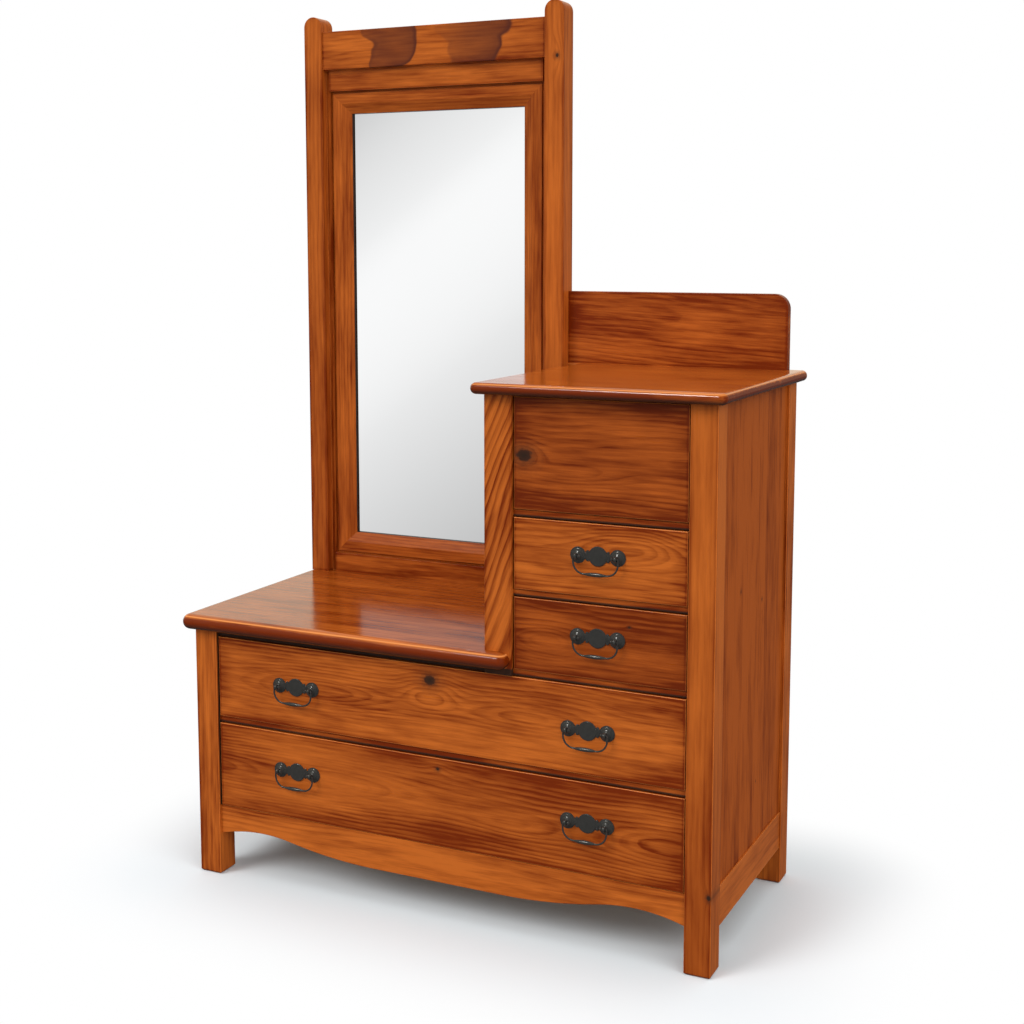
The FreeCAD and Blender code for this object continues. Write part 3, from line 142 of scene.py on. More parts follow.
def ramp(tree, factor, stops, interpolation="EASE"):
    """A grey that follows the factor through (position, shade) stops."""
    made = node(tree, "ShaderNodeValToRGB", {0: factor})
    made.color_ramp.interpolation = interpolation
    while len(made.color_ramp.elements) < len(stops):
        made.color_ramp.elements.new(0.5)
    for element, (spot, shade) in zip(made.color_ramp.elements, stops):
        element.position = spot
        element.color = (shade, shade, shade, 1)
    return made.outputs["Color"]


# The camera sees a white room. The mirror sees it as a slanting bright band, and lacquer as a dimmer room
# that is brighter behind the dresser than in front of it or to its right.
ROOM_LIGHT = 0.42
LACQUER_FRONT, LACQUER_BACK, LACQUER_RIGHT = 0.28, 0.95, 0.22
TURN_TO_BACK, TURN_TO_RIGHT = (-0.3, 0.3), (-0.15, 0.2)
LEAST_AHEAD = 0.05
BAND_RISE, BAND_SLANT, BAND_PLACE = -1.32, 0.967, 1.01
BAND_STOPS = ((0.1, 0.45), (0.25, 0.70), (0.37, 0.92), (0.44, 1.0), (0.57, 0.86), (0.77, 0.57), (1.0, 0.46))
WHITE, LACQUER_TINT = (1, 1, 1, 1), (1.0, 0.93, 0.74, 1)
room = bpy.data.worlds.new("room")
scene.world = room
room.use_nodes = True
room_tree = room.node_tree
room_tree.nodes.clear()
path = node(room_tree, "ShaderNodeLightPath").outputs
look_way = node(room_tree, "ShaderNodeTexCoord").outputs["Generated"]
way = split(room_tree, look_way)
ahead = math_node(room_tree, "MAXIMUM", math_node(room_tree, "ABSOLUTE", way["Y"]), LEAST_AHEAD)
rise = math_node(room_tree, "DIVIDE", way["Z"], ahead)
slant = math_node(room_tree, "DIVIDE", way["X"], ahead)
band = math_node(room_tree, "MULTIPLY_ADD", rise, BAND_RISE, BAND_PLACE)
band = math_node(room_tree, "MULTIPLY_ADD", slant, BAND_SLANT, band)
in_mirror = ramp(room_tree, band, BAND_STOPS, "CARDINAL")
in_depth = eased(room_tree, way["Y"], *TURN_TO_BACK, LACQUER_FRONT, LACQUER_BACK)
sideways = eased(room_tree, way["X"], *TURN_TO_RIGHT, 1.0, LACQUER_RIGHT)
lacquer = math_node(room_tree, "MULTIPLY", in_depth, sideways)
glossy = math_node(room_tree, "MAXIMUM", path["Is Glossy Ray"], path["Is Transmission Ray"])
sharp = math_node(room_tree, "MULTIPLY", path["Is Singular Ray"], glossy)
strength = chosen(room_tree, glossy, ROOM_LIGHT, lacquer)
strength = chosen(room_tree, sharp, strength, in_mirror)
strength = chosen(room_tree, path["Is Camera Ray"], strength, 1.0)
warm = math_node(room_tree, "SUBTRACT", glossy, sharp)
room_tint = mixed(room_tree, warm, WHITE, LACQUER_TINT)
room_glow = node(room_tree, "ShaderNodeBackground", {"Color": room_tint, "Strength": strength})
node(room_tree, "ShaderNodeOutputWorld", {"Surface": room_glow.outputs[0]})

# The floor takes the dresser's shadow near it and glows further off, so that no horizon shows. It throws
# little light back at the wood, and the mirror looks past it at the room.
FLOOR_HALF = 14
FOOTPRINT = (0.55, 0.24, 1)
FLOOR_NEAR, FLOOR_FAR = 0.03, 0.36
FLOOR_WHITE, FLOOR_BOUNCE = (0.895, 0.945, 0.97, 1), (0.35, 0.35, 0.35, 1)
FLOOR_GLOSSY = 0.08
bpy.ops.mesh.primitive_plane_add(size=2 * FLOOR_HALF)
floor = bpy.context.object
floor.name = "floor"
floor_look = bpy.data.materials.new("floor")
floor_look.use_nodes = True
floor_tree = floor_look.node_tree
floor_shader = floor_tree.nodes["Principled BSDF"]
floor_shader.inputs["Roughness"].default_value = 0.9
floor_shader.inputs["Specular IOR Level"].default_value = 0
path = node(floor_tree, "ShaderNodeLightPath").outputs
floor_place = node(floor_tree, "ShaderNodeTexCoord").outputs["Object"]
outside = vector_math(floor_tree, "ABSOLUTE", floor_place)
outside = vector_math(floor_tree, "SUBTRACT", outside, FOOTPRINT)
outside = vector_math(floor_tree, "MAXIMUM", outside, (0, 0, 0))
paper = mixed(floor_tree, path["Is Diffuse Ray"], FLOOR_WHITE, FLOOR_BOUNCE)
floor_tree.links.new(paper, floor_shader.inputs["Base Color"])
far_off = eased(floor_tree, length_of(floor_tree, outside), FLOOR_NEAR, FLOOR_FAR)
glow = chosen(floor_tree, path["Is Glossy Ray"], 1.0, FLOOR_GLOSSY)
floor_glow = node(floor_tree, "ShaderNodeEmission", {"Strength": glow}).outputs[0]
far_off = math_node(floor_tree, "MULTIPLY", far_off, path["Is Camera Ray"])
far_off = math_node(floor_tree, "MAXIMUM", far_off, path["Is Glossy Ray"])
floor_paper = floor_shader.outputs[0]
floor_mix = node(floor_tree, "ShaderNodeMixShader", {0: far_off, 1: floor_paper, 2: floor_glow}).outputs[0]
past_floor = node(floor_tree, "ShaderNodeBsdfTransparent").outputs[0]
sharp = math_node(floor_tree, "MULTIPLY", path["Is Singular Ray"], path["Is Glossy Ray"])
floor_end = node(floor_tree, "ShaderNodeMixShader", {0: sharp, 1: floor_mix, 2: past_floor}).outputs[0]
floor_tree.links.new(floor_end, floor_tree.nodes["Material Output"].inputs["Surface"])
floor.data.materials.append(floor_look)

# ---------------------------------------------------------------------------------------------------------
# Legs and side rails: straight sticks of honey-coloured pine, stained, sanded and lacquered, with the grain
# along them and bevelled feet. The pine that every wooden piece here is made of is set out first.
# ---------------------------------------------------------------------------------------------------------
def group_tree(name, inputs, outputs):
    """A new shader group with its sockets, and the outputs of its input node."""
    tree = bpy.data.node_groups.new(name, "ShaderNodeTree")
    for label, kind, default in inputs:
        tree.interface.new_socket(label, in_out="INPUT", socket_type=kind).default_value = default
    for label, kind in outputs:
        tree.interface.new_socket(label, in_out="OUTPUT", socket_type=kind)
    return tree, tree.nodes.new("NodeGroupInput").outputs


def scaled(tree, place, factors):
    return vector_math(tree, "MULTIPLY", place, factors)


def noise(tree, place, detail, roughness=0.5):
    settings = {"Vector": place, "Scale": 1.0, "Detail": detail, "Roughness": roughness}
    return node(tree, "ShaderNodeTexNoise", settings).outputs


# The growth rings are cylinders about a pith that runs along X and wanders: where it nears the face, the
# rings close into long loops. Distances are in metres. Swell pushes the rings aside, as a knot does. Each
# glued board, and each seed, has a place of its own in the noises. A grain is a noise drawn out along the
# board: its waves per metre along and across, its detail and its roughness.
HEART_COLOUR = (0.095, 0.022, 0.013, 1)
# The knot colour is laid on knots' eyes, and also as painted shade: in gaps, under the noses, the rails and
# the low top's tongue, and on the moulding's inner face.
KNOT_AND_SHADE_COLOUR = (0.034, 0.018, 0.012, 1)
# The pale colour paints wear and a highlight on arrises, and a highlight along each nose's brow.
WEAR_AND_HIGHLIGHT_COLOUR = (0.80, 0.30, 0.085, 1)
BOARD_STEP, OWN_STEPS = 3.7, (17.3, 5.9, 11.1)
GRAINS = {
    "fine": ((6, 38, 38), 3, 0.5),
    "bold": ((1.7, 9, 9), 2, 0.5),
    "fibre": ((11, 320, 320), 4, 0.65),
    "streak": ((3.0, 42, 42), 4, 0.6),
    "pore": ((9, 125, 125), 3, 0.6),
    "cloud": ((4.6, 15, 15), 3, 0.6),
}
RING_STOPS = ((0.0, 0.2), (0.3, 0.12), (0.66, 0.6), (0.84, 0.9), (0.94, 0.7), (1.0, 0.2))
RING_BEND, YEAR_STEP = 1.1, 0.45
YEAR_CHANGE, BOLD_CHANGE = (2.4, -0.5), (4.2, -1.25)
TONE_CHANGES = (("fibre", 0.5, 0.8), ("pore", 0.5, 1.15), ("streak", 0.5, 1.0), ("cloud", 0.46, 1.4))
TONE_LEAST, TONE_MOST = -0.15, 1.25
figure, given = group_tree(
    "pine_figure",
    [
        ("Place", "NodeSocketVector", (0, 0, 0)),
        ("Seed", "NodeSocketFloat", 0),
        ("Ring Gap", "NodeSocketFloat", 0.0075),
        ("Wander", "NodeSocketFloat", 0.02),
        ("Waves", "NodeSocketFloat", 2.0),
        ("Contrast", "NodeSocketFloat", 0.7),
        ("Streaks", "NodeSocketFloat", 1.0),
        ("Shade", "NodeSocketFloat", 0.0),
        ("Board Width", "NodeSocketFloat", 10.0),
        ("Board Change", "NodeSocketFloat", 0.0),
        ("Swell", "NodeSocketFloat", 0),
        ("Knot And Painted Shade", "NodeSocketFloat", 0),
        ("Heart", "NodeSocketFloat", 0),
        ("Edge", "NodeSocketFloat", 0),
        ("Early", "NodeSocketColor", (1, 1, 1, 1)),
        ("Late", "NodeSocketColor", (0, 0, 0, 1)),
    ],
    [("Color", "NodeSocketColor"), ("Roughness", "NodeSocketFloat"), ("Height", "NodeSocketFloat")],
)
across = split(figure, given["Place"])
board = math_node(figure, "ROUND", math_node(figure, "DIVIDE", across["Y"], given["Board Width"]))
own = math_node(figure, "MULTIPLY_ADD", board, BOARD_STEP, given["Seed"])
own_steps = {index: math_node(figure, "MULTIPLY", own, step) for index, step in enumerate(OWN_STEPS)}
own_shift = node(figure, "ShaderNodeCombineXYZ", own_steps).outputs[0]
moved = vector_math(figure, "ADD", given["Place"], own_shift)
grain = {}
for name, (waves, detail, roughness) in GRAINS.items():
    grain[name] = noise(figure, scaled(figure, moved, waves), detail, roughness)["Fac"]
long_waves = node(figure, "ShaderNodeCombineXYZ", {0: given["Waves"], 1: 4.5, 2: 4.5}).outputs[0]
slow = noise(figure, scaled(figure, moved, long_waves), 2, 0.45)["Color"]
slow = node(figure, "ShaderNodeSeparateColor", {0: slow}).outputs
radii = []
for spot, drift in ((across["Y"], slow[0]), (across["Z"], slow[1])):
    swing = math_node(figure, "MULTIPLY_ADD", drift, 2.0, -1.0)
    radii.append(math_node(figure, "MULTIPLY_ADD", swing, given["Wander"], spot))
depth = math_node(figure, "ADD", radii[1], given["Swell"])
squares = [math_node(figure, "MULTIPLY", side, side) for side in (radii[0], depth)]
reach = math_node(figure, "SQRT", math_node(figure, "ADD", *squares))
count = math_node(figure, "DIVIDE", reach, given["Ring Gap"])
count = math_node(figure, "MULTIPLY_ADD", grain["fine"], RING_BEND, count)
ring = ramp(figure, math_node(figure, "FRACT", count), RING_STOPS)
year_place = {0: math_node(figure, "MULTIPLY", count, YEAR_STEP), 1: own}
year = noise(figure, node(figure, "ShaderNodeCombineXYZ", year_place).outputs[0], 2)["Fac"]
for change, (amount, base) in ((year, YEAR_CHANGE), (grain["bold"], BOLD_CHANGE)):
    boldness = math_node(figure, "MULTIPLY_ADD", change, amount, base, clamp=True)
    ring = math_node(figure, "MULTIPLY", ring, boldness)
board_tone = node(figure, "ShaderNodeTexWhiteNoise", {"W": own}, noise_dimensions="1D").outputs["Value"]
tone = math_node(figure, "MULTIPLY_ADD", ring, given["Contrast"], given["Shade"])
for name, middle, amount in TONE_CHANGES:
    swing = math_node(figure, "SUBTRACT", grain[name], middle)
    swing = math_node(figure, "MULTIPLY", swing, given["Streaks"])
    tone = math_node(figure, "MULTIPLY_ADD", swing, amount, tone)
board_swing = math_node(figure, "SUBTRACT", board_tone, 0.5)
tone = math_node(figure, "MULTIPLY_ADD", board_swing, given["Board Change"], tone)
# The edge input darkens the tone with stain and painted shade. Below nought, it pales the wood with wear and
# a painted highlight.
tone = math_node(figure, "MULTIPLY_ADD", given["Edge"], math_node(figure, "ADD", grain["cloud"], 0.1), tone)
tone = math_node(figure, "MAXIMUM", math_node(figure, "MINIMUM", tone, TONE_MOST), TONE_LEAST)
wood = mixed(figure, tone, given["Early"], given["Late"])
paled_by_wear_and_highlight = math_node(figure, "MULTIPLY", given["Edge"], -0.6, clamp=True)
wood = mixed(figure, paled_by_wear_and_highlight, wood, WEAR_AND_HIGHLIGHT_COLOUR)
wood = mixed(figure, given["Heart"], wood, HEART_COLOUR)
# Knots' eyes and painted shade take the knot colour.
wood = mixed(figure, given["Knot And Painted Shade"], wood, KNOT_AND_SHADE_COLOUR)
shine = math_node(figure, "MULTIPLY", grain["fibre"], 0.08)
shine = math_node(figure, "MULTIPLY_ADD", grain["cloud"], 0.12, shine)
relief = math_node(figure, "MULTIPLY_ADD", grain["fibre"], 0.6, math_node(figure, "MULTIPLY", tone, 0.4))
node(figure, "NodeGroupOutput", {"Color": wood, "Roughness": shine, "Height": relief})

# A knot: a dark, ragged eye with a paler halo of stain, and rings that bend round it. With hardly any eye it
# is only a swirl. The halo ends at four times the radius of the eye.
EYE_SHAPE, EYE_WAVES = (0.8, 1, 0), (120, 160, 0)
EYE_RAGGED, EYE_EVEN = 0.9, 0.55
EYE_STOPS = ((0.0, 1.0), (0.2, 0.95), (0.34, 0.45), (0.6, 0.15), (1.0, 0.0))
HALO_SHARE = 0.25
knots, knot_given = group_tree(
    "knot_in_pine",
    [
        ("Place", "NodeSocketVector", (0, 0, 0)),
        ("Spot", "NodeSocketVector", (0, 0, 0)),
        ("Eye", "NodeSocketFloat", 0.005),
        ("Length", "NodeSocketFloat", 0.05),
        ("Width", "NodeSocketFloat", 0.03),
        ("Rise", "NodeSocketFloat", 0.03),
        ("Swell", "NodeSocketFloat", 0),
        ("Knot And Painted Shade", "NodeSocketFloat", 0),
    ],
    [("Swell", "NodeSocketFloat"), ("Knot And Painted Shade", "NodeSocketFloat")],
)
offset = vector_math(knots, "SUBTRACT", knot_given["Place"], knot_given["Spot"])
ragged = noise(knots, scaled(knots, knot_given["Place"], EYE_WAVES), 3)["Fac"]
ragged = math_node(knots, "MULTIPLY_ADD", ragged, EYE_RAGGED, EYE_EVEN)
from_eye = math_node(knots, "MULTIPLY", length_of(knots, scaled(knots, offset, EYE_SHAPE)), ragged)
from_eye = math_node(knots, "DIVIDE", from_eye, knot_given["Eye"])
eye = ramp(knots, math_node(knots, "MULTIPLY", from_eye, HALO_SHARE), EYE_STOPS)
oval_size = {0: knot_given["Length"], 1: knot_given["Width"], 2: 1.0}
oval = vector_math(knots, "DIVIDE", offset, node(knots, "ShaderNodeCombineXYZ", oval_size).outputs[0])
spread = length_of(knots, scaled(knots, oval, (1, 1, 0)))
spread = math_node(knots, "MULTIPLY", spread, spread)
falloff = math_node(knots, "EXPONENT", math_node(knots, "MULTIPLY", spread, -1.0))
knot_sums = {
    "Swell": math_node(knots, "MULTIPLY_ADD", falloff, knot_given["Rise"], knot_given["Swell"]),
    "Knot And Painted Shade": math_node(knots, "MAXIMUM", eye, knot_given["Knot And Painted Shade"]),
}
node(knots, "NodeGroupOutput", knot_sums)

# Beside the edges of a board the wood is darker, faintly over a wider border too: stain gathers there, and
# painted shade stands in for the shade along edges and gaps. The rounded arris itself is paler, worn and
# with a painted highlight.
EDGE_STAIN_AND_SHADE, EDGE_BORDER, ARRIS_WEAR_AND_HIGHLIGHT = 0.007, 0.045, 0.0022
BORDER_SHARE = 0.55
edges, edge_given = group_tree(
    "board_edge",
    [
        ("Place", "NodeSocketVector", (0, 0, 0)),
        ("Low", "NodeSocketVector", (0, 0, 0)),
        ("High", "NodeSocketVector", (0, 0, 0)),
        ("Stain", "NodeSocketFloat", 0.6),
        ("Rub", "NodeSocketFloat", 0.5),
    ],
    [("Edge", "NodeSocketFloat")],
)
above_low = vector_math(edges, "SUBTRACT", edge_given["Place"], edge_given["Low"])
below_high = vector_math(edges, "SUBTRACT", edge_given["High"], edge_given["Place"])
nearest = split(edges, vector_math(edges, "MINIMUM", above_low, below_high))
lesser = math_node(edges, "MINIMUM", nearest["X"], nearest["Y"])
greater = math_node(edges, "MAXIMUM", nearest["X"], nearest["Y"])
to_edge = math_node(edges, "MAXIMUM", lesser, math_node(edges, "MINIMUM", greater, nearest["Z"]))
border = eased(edges, to_edge, 0.0, EDGE_BORDER, BORDER_SHARE, 0.0)
stain = math_node(edges, "ADD", eased(edges, to_edge, 0.0, EDGE_STAIN_AND_SHADE, 1.0, 0.0), border)
stain = math_node(edges, "MULTIPLY", stain, edge_given["Stain"])
rub = math_node(edges, "MULTIPLY", eased(edges, to_edge, 0.0, ARRIS_WEAR_AND_HIGHLIGHT, 1.0, 0.0), edge_given["Rub"])
node(edges, "NodeGroupOutput", {"Edge": math_node(edges, "SUBTRACT", stain, rub)})

X_AXIS, Y_AXIS, Z_AXIS = Vector((1, 0, 0)), Vector((0, 1, 0)), Vector((0, 0, 1))
HONEY = (0.60, 0.145, 0.0185, 1)
AMBER = (0.185, 0.022, 0.0010, 1)
PITH_DEPTH = 0.045
GRAIN_BUMP = {"Strength": 0.08, "Distance": 0.001}


def finish(name, look):
    """Gives a CAD piece its material."""
    nodes[name].data.materials.clear()
    nodes[name].data.materials.append(look)


def middle_of(name):
    low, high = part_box(name)
    return (low + high) / 2


def pine(
    name, seed, along=X_AXIS, inward=Y_AXIS, pith=None, lean=0, knot_spots=(), masks=(),
    stain=0.6, rub=0.5, roughness=0.2, level=0.2, **figure_values
):
    """Stained, lacquered pine on a piece: the grain runs along one axis and the face looks against another.
    The pith passes at an offset from the piece's middle, and a lean in degrees turns the grain. A knot spot
    is its place, the radius of its eye, and the length, width and rise of the rings' bend round it."""
    pith = middle_of(name) + (inward * PITH_DEPTH if pith is None else Vector(pith))
    turn = Matrix.Rotation(math.radians(lean), 3, "Z") @ Matrix((along, inward.cross(along), inward))
    look = bpy.data.materials.new(f"{name}_pine")
    look.use_nodes = True
    tree = look.node_tree
    shader = tree.nodes["Principled BSDF"]
    coordinates = node(tree, "ShaderNodeTexCoord").outputs["Object"]
    settings = {"Vector": coordinates, "Rotation": turn.to_euler(), "Location": -(turn @ pith)}
    place = node(tree, "ShaderNodeMapping", settings).outputs[0]
    values = {"Place": place, "Seed": float(seed), "Early": HONEY, "Late": AMBER}
    for spot, eye, length, width, rise in knot_spots:
        one = node(tree, "ShaderNodeGroup", node_tree=knots)
        fill = {"Place": place, "Spot": turn @ (Vector(spot) - pith), "Eye": eye}
        fill.update({"Length": length, "Width": width, "Rise": rise})
        fill.update({label: values[label] for label in ("Swell", "Knot And Painted Shade") if label in values})
        feed(tree, one, fill)
        values.update({label: one.outputs[label] for label in ("Swell", "Knot And Painted Shade")})
    values.update({label: mask(tree, coordinates) for label, mask in dict(masks).items()})
    # Stain and painted shade darken the piece's edges, and wear and a painted highlight pale its arris.
    if stain or rub:
        low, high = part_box(name)
        one = node(tree, "ShaderNodeGroup", node_tree=edges)
        feed(tree, one, {"Place": coordinates, "Low": low, "High": high, "Stain": stain, "Rub": rub})
        values["Edge"] = one.outputs["Edge"]
    values.update({label.replace("_", " ").title(): amount for label, amount in figure_values.items()})
    made = node(tree, "ShaderNodeGroup", node_tree=figure)
    feed(tree, made, values)
    tree.links.new(made.outputs["Color"], shader.inputs["Base Color"])
    tree.links.new(math_node(tree, "ADD", made.outputs["Roughness"], roughness), shader.inputs["Roughness"])
    bump = node(tree, "ShaderNodeBump", {"Height": made.outputs["Height"], **GRAIN_BUMP})
    tree.links.new(bump.outputs[0], shader.inputs["Normal"])
    shader.inputs["Specular IOR Level"].default_value = level
    finish(name, look)


# A leg is cut well beside the pith, so its rings run straight up both faces. Its face in the gap beside the
# drawers is painted black as shade.
LEG_PITH = (-0.07, 0.045, 0)
LEG_INSIDE, LEG_OUTSIDE = -0.500, 0.550
APRON_TOP = 0.147
FRONT_FACE = -0.2325
ON_FACE = 0.0006
GAP_FADE = (FRONT_FACE - 0.002, FRONT_FACE, 0.0, 0.97)
LIT_SIDE_X, SIDE_LIGHT = LEG_OUTSIDE - 0.0005, -0.32
LEG_FADE = (0.1, 0.7, 0.42, 0.08)


def gap_painted_shade(face_x):
    """A mask of painted shade, black on the face that looks to the right at an x, behind the drawer fronts'
    faces.
    """

    def mask(tree, place):
        where = split(tree, place)
        beside = math_node(tree, "COMPARE", where["X"], face_x, ON_FACE)
        in_gap = math_node(tree, "MULTIPLY", beside, math_node(tree, "GREATER_THAN", where["Z"], APRON_TOP))
        return math_node(tree, "MULTIPLY", in_gap, eased(tree, where["Y"], *GAP_FADE))

    return mask


def right_leg_tone_and_lit_side(tree, place):
    """The right leg's front darkens towards the floor, and painted light makes its outer face paler."""
    where = split(tree, place)
    lit_side = math_node(tree, "GREATER_THAN", where["X"], LIT_SIDE_X)
    return math_node(tree, "MULTIPLY_ADD", lit_side, SIDE_LIGHT, eased(tree, where["Z"], *LEG_FADE))


leg_values = {"along": Z_AXIS, "wander": 0.012, "waves": 1.4, "contrast": 0.35, "stain": 0.6, "rub": 1.4}
pine("front_left_leg", 1, pith=LEG_PITH, shade=0.08, masks={"Knot And Painted Shade": gap_painted_shade(LEG_INSIDE)}, **leg_values)
pine("rear_left_leg", 2, pith=LEG_PITH, **leg_values)
leg_knot = ((0.545, -0.2375, 0.150), 0.0034, 0.02, 0.008, 0.008)
calm_leg = {**leg_values, "contrast": 0.25, "streaks": 0.5}
pine("front_right_leg", 3, pith=LEG_PITH, knot_spots=[leg_knot], masks={"Shade": right_leg_tone_and_lit_side}, **calm_leg)
pine("rear_right_leg", 4, pith=LEG_PITH, **leg_values)
pine("side_rails", 5, along=Y_AXIS, inward=X_AXIS, pith=(0.45, 0, -0.05), contrast=0.5, wander=0.01, stain=0)

# ---------------------------------------------------------------------------------------------------------
# The tower's front post and the rails between the drawers: the post is a wild piece whose bold rings cross
# it at a steep slant; the rails are thin, stand back, and are painted darker as shade.
# ---------------------------------------------------------------------------------------------------------
TOWER_EDGE, LOW_UNDERSIDE = 0.107, 0.514
RAIL_TOPS, RAIL_THICKNESS = (0.335, 0.514, 0.664, 0.811), 0.012
FOOT_FADE = (LOW_UNDERSIDE - 0.001, LOW_UNDERSIDE + 0.002, 0.95, 0.0)
RAIL_FADE, RAIL_DARKEST = (0.0015, 0.005, 0.95, 0.0), 0.97


def foot_shadow(tree, place):
    """The post's foot, painted black as shadow where the low top's tongue covers it."""
    return eased(tree, split(tree, place)["Z"], *FOOT_FADE)


def rail_shadow(tree, place):
    """Painted shade that fills the gap under each rail, and all of the rail that the low top overhangs."""
    where = split(tree, place)
    under_top = math_node(tree, "LESS_THAN", where["X"], TOWER_EDGE)
    high = math_node(tree, "GREATER_THAN", where["Z"], RAIL_TOPS[1] - RAIL_THICKNESS)
    dark = math_node(tree, "MULTIPLY", under_top, high)
    for top in RAIL_TOPS:
        above_foot = math_node(tree, "SUBTRACT", where["Z"], top - RAIL_THICKNESS)
        low_edge = eased(tree, math_node(tree, "ABSOLUTE", above_foot), *RAIL_FADE)
        dark = math_node(tree, "MAXIMUM", dark, low_edge)
    return math_node(tree, "MULTIPLY", dark, RAIL_DARKEST)


post_values = {
    "along": Z_AXIS, "lean": -24, "ring_gap": 0.012, "wander": 0.035, "waves": 2.2, "contrast": 1.15,
    "shade": -0.05, "streaks": 0.7, "stain": 0.5,
}
pine("tower_front_post", 11, pith=(0.17, 0.11, 0), masks={"Knot And Painted Shade": foot_shadow}, **post_values)
# The rails' darker tone is painted shade, as they stand back behind the fronts.
rail_values = {"contrast": 0.3, "wander": 0.01, "shade": 0.8, "stain": 0, "rub": 0}
pine("front_drawer_rails", 12, pith=(0, 0.05, 0.02), masks={"Knot And Painted Shade": rail_shadow}, **rail_values)

# ---------------------------------------------------------------------------------------------------------
# The shaped apron: one wide flat-sawn board under the bottom drawer, with its lower edge bandsawn to a
# curve and eased by hand. It is tenoned into the two front legs.
# ---------------------------------------------------------------------------------------------------------
pine("front_apron", 14, pith=(0, 0.04, -0.03), lean=1.5, wander=0.022, contrast=0.5, shade=-0.02, stain=0.3)

# ---------------------------------------------------------------------------------------------------------
# Side panels: narrow boards glued edge to edge, redder than the rest and more matt, with upright grain and
# a few knots.
# ---------------------------------------------------------------------------------------------------------
RUSSET = (0.46, 0.098, 0.011, 1)
RUSSET_DARK = (0.19, 0.028, 0.003, 1)
panel_values = {
    "along": Z_AXIS, "inward": X_AXIS, "early": RUSSET, "late": RUSSET_DARK, "board_width": 0.047,
    "board_change": 0.5, "wander": 0.014, "contrast": 0.55, "streaks": 1.25, "ring_gap": 0.008,
    "shade": -0.1, "stain": 0.4, "rub": 0,
    "roughness": 0.32, "level": 0.12,
}
panel_knots = [
    ((0.544, -0.072, 0.663), 0.0020, 0.045, 0.012, 0.034),
    ((0.544, 0.065, 0.620), 0.0018, 0.050, 0.014, 0.038),
    ((0.544, 0.045, 0.27), 0.0012, 0.030, 0.010, 0.014),
]
pine("right_side_panel", 21, pith=(-PITH_DEPTH, 0, 0), knot_spots=panel_knots, **panel_values)
pine("left_side_panel", 22, pith=(PITH_DEPTH, 0, 0), **panel_values)
pine("tower_side_panel", 23, pith=(PITH_DEPTH, 0, 0), **panel_values)

# ---------------------------------------------------------------------------------------------------------
# Tops: glued boards with a full round nose, rubbed to the highest gloss of all the wood here. The boards
# that stand on them at the back are the same timber.
# ---------------------------------------------------------------------------------------------------------
LOW_SURFACE, LOW_THICKNESS = 0.545, 0.031
HIGH_SURFACE, HIGH_THICKNESS = 1.041, 0.021
# The fades run down the nose, in shares of its thickness, and the brow's runs away from the brow both ways.
BROW, BROW_HIGHLIGHT_FADE = 0.12, (0.01, 0.055, -1.3, 0.0)
NOSE_SHADE_FADE, UNDERSIDE_SHADE_FADE = (0.13, 0.35, 0.0, 1.5), (0.45, 0.95, 0.0, 0.92)


def nose_masks(surface, thickness):
    """A nose with a painted highlight along its brow, then painted shade that darkens down it and is black
    underneath.
    """

    def drop(tree, place):
        below = math_node(tree, "SUBTRACT", surface, split(tree, place)["Z"])
        return math_node(tree, "DIVIDE", below, thickness)

    def nose_highlight_and_shade(tree, place):
        depth = drop(tree, place)
        away = math_node(tree, "ABSOLUTE", math_node(tree, "SUBTRACT", depth, BROW))
        return math_node(tree, "ADD", eased(tree, away, *BROW_HIGHLIGHT_FADE), eased(tree, depth, *NOSE_SHADE_FADE))

    def painted_shade_underneath(tree, place):
        return eased(tree, drop(tree, place), *UNDERSIDE_SHADE_FADE)

    return {"Edge": nose_highlight_and_shade, "Knot And Painted Shade": painted_shade_underneath}


top_values = {
    "inward": Z_AXIS, "pith": (0, 0, -PITH_DEPTH), "board_width": 0.13, "board_change": 0.3,
    "wander": 0.02, "contrast": 0.4, "streaks": 0.9, "ring_gap": 0.011, "stain": 0, "rub": 0,
    "roughness": 0.05, "level": 0.5,
}
pine("low_top", 31, masks=nose_masks(LOW_SURFACE, LOW_THICKNESS), shade=0.45, **top_values)
pine("upper_top", 32, masks=nose_masks(HIGH_SURFACE, HIGH_THICKNESS), shade=0.22, **top_values)
pine("upper_backboard", 33, pith=(0, 0.04, 0.02), lean=-3, wander=0.025, contrast=0.5, shade=0.44)
pine("lower_backboard", 34, contrast=0.45, shade=0.32)

# ---------------------------------------------------------------------------------------------------------
# Mirror frame: two tall posts with round heads, a crest board sawn through the dark heart of the tree, rails,
# thin stiles and a mitred moulding round the glass.
# ---------------------------------------------------------------------------------------------------------
tall_values = {"along": Z_AXIS, "wander": 0.016, "waves": 1.6, "contrast": 0.4, "streaks": 0.6, "stain": 0.7}
pine("left_mirror_post", 41, pith=LEG_PITH, shade=0.12, **tall_values)
post_knot = ((0.050, 0.2145, 1.672), 0.0030, 0.03, 0.011, 0.02)
pine("right_mirror_post", 42, pith=LEG_PITH, knot_spots=[post_knot], shade=-0.02, **tall_values)

HEART_WAVES, HEART_BEND = (10, 0, 16), (0.055, 0, 0.035)
HEART_STOPS = ((0.0, 0.60), (0.45, 0.68), (0.72, 0.74), (0.90, 0.94), (1.0, 0.0))
FAR_OUT, OVAL_BLEND = 2.0, 0.3


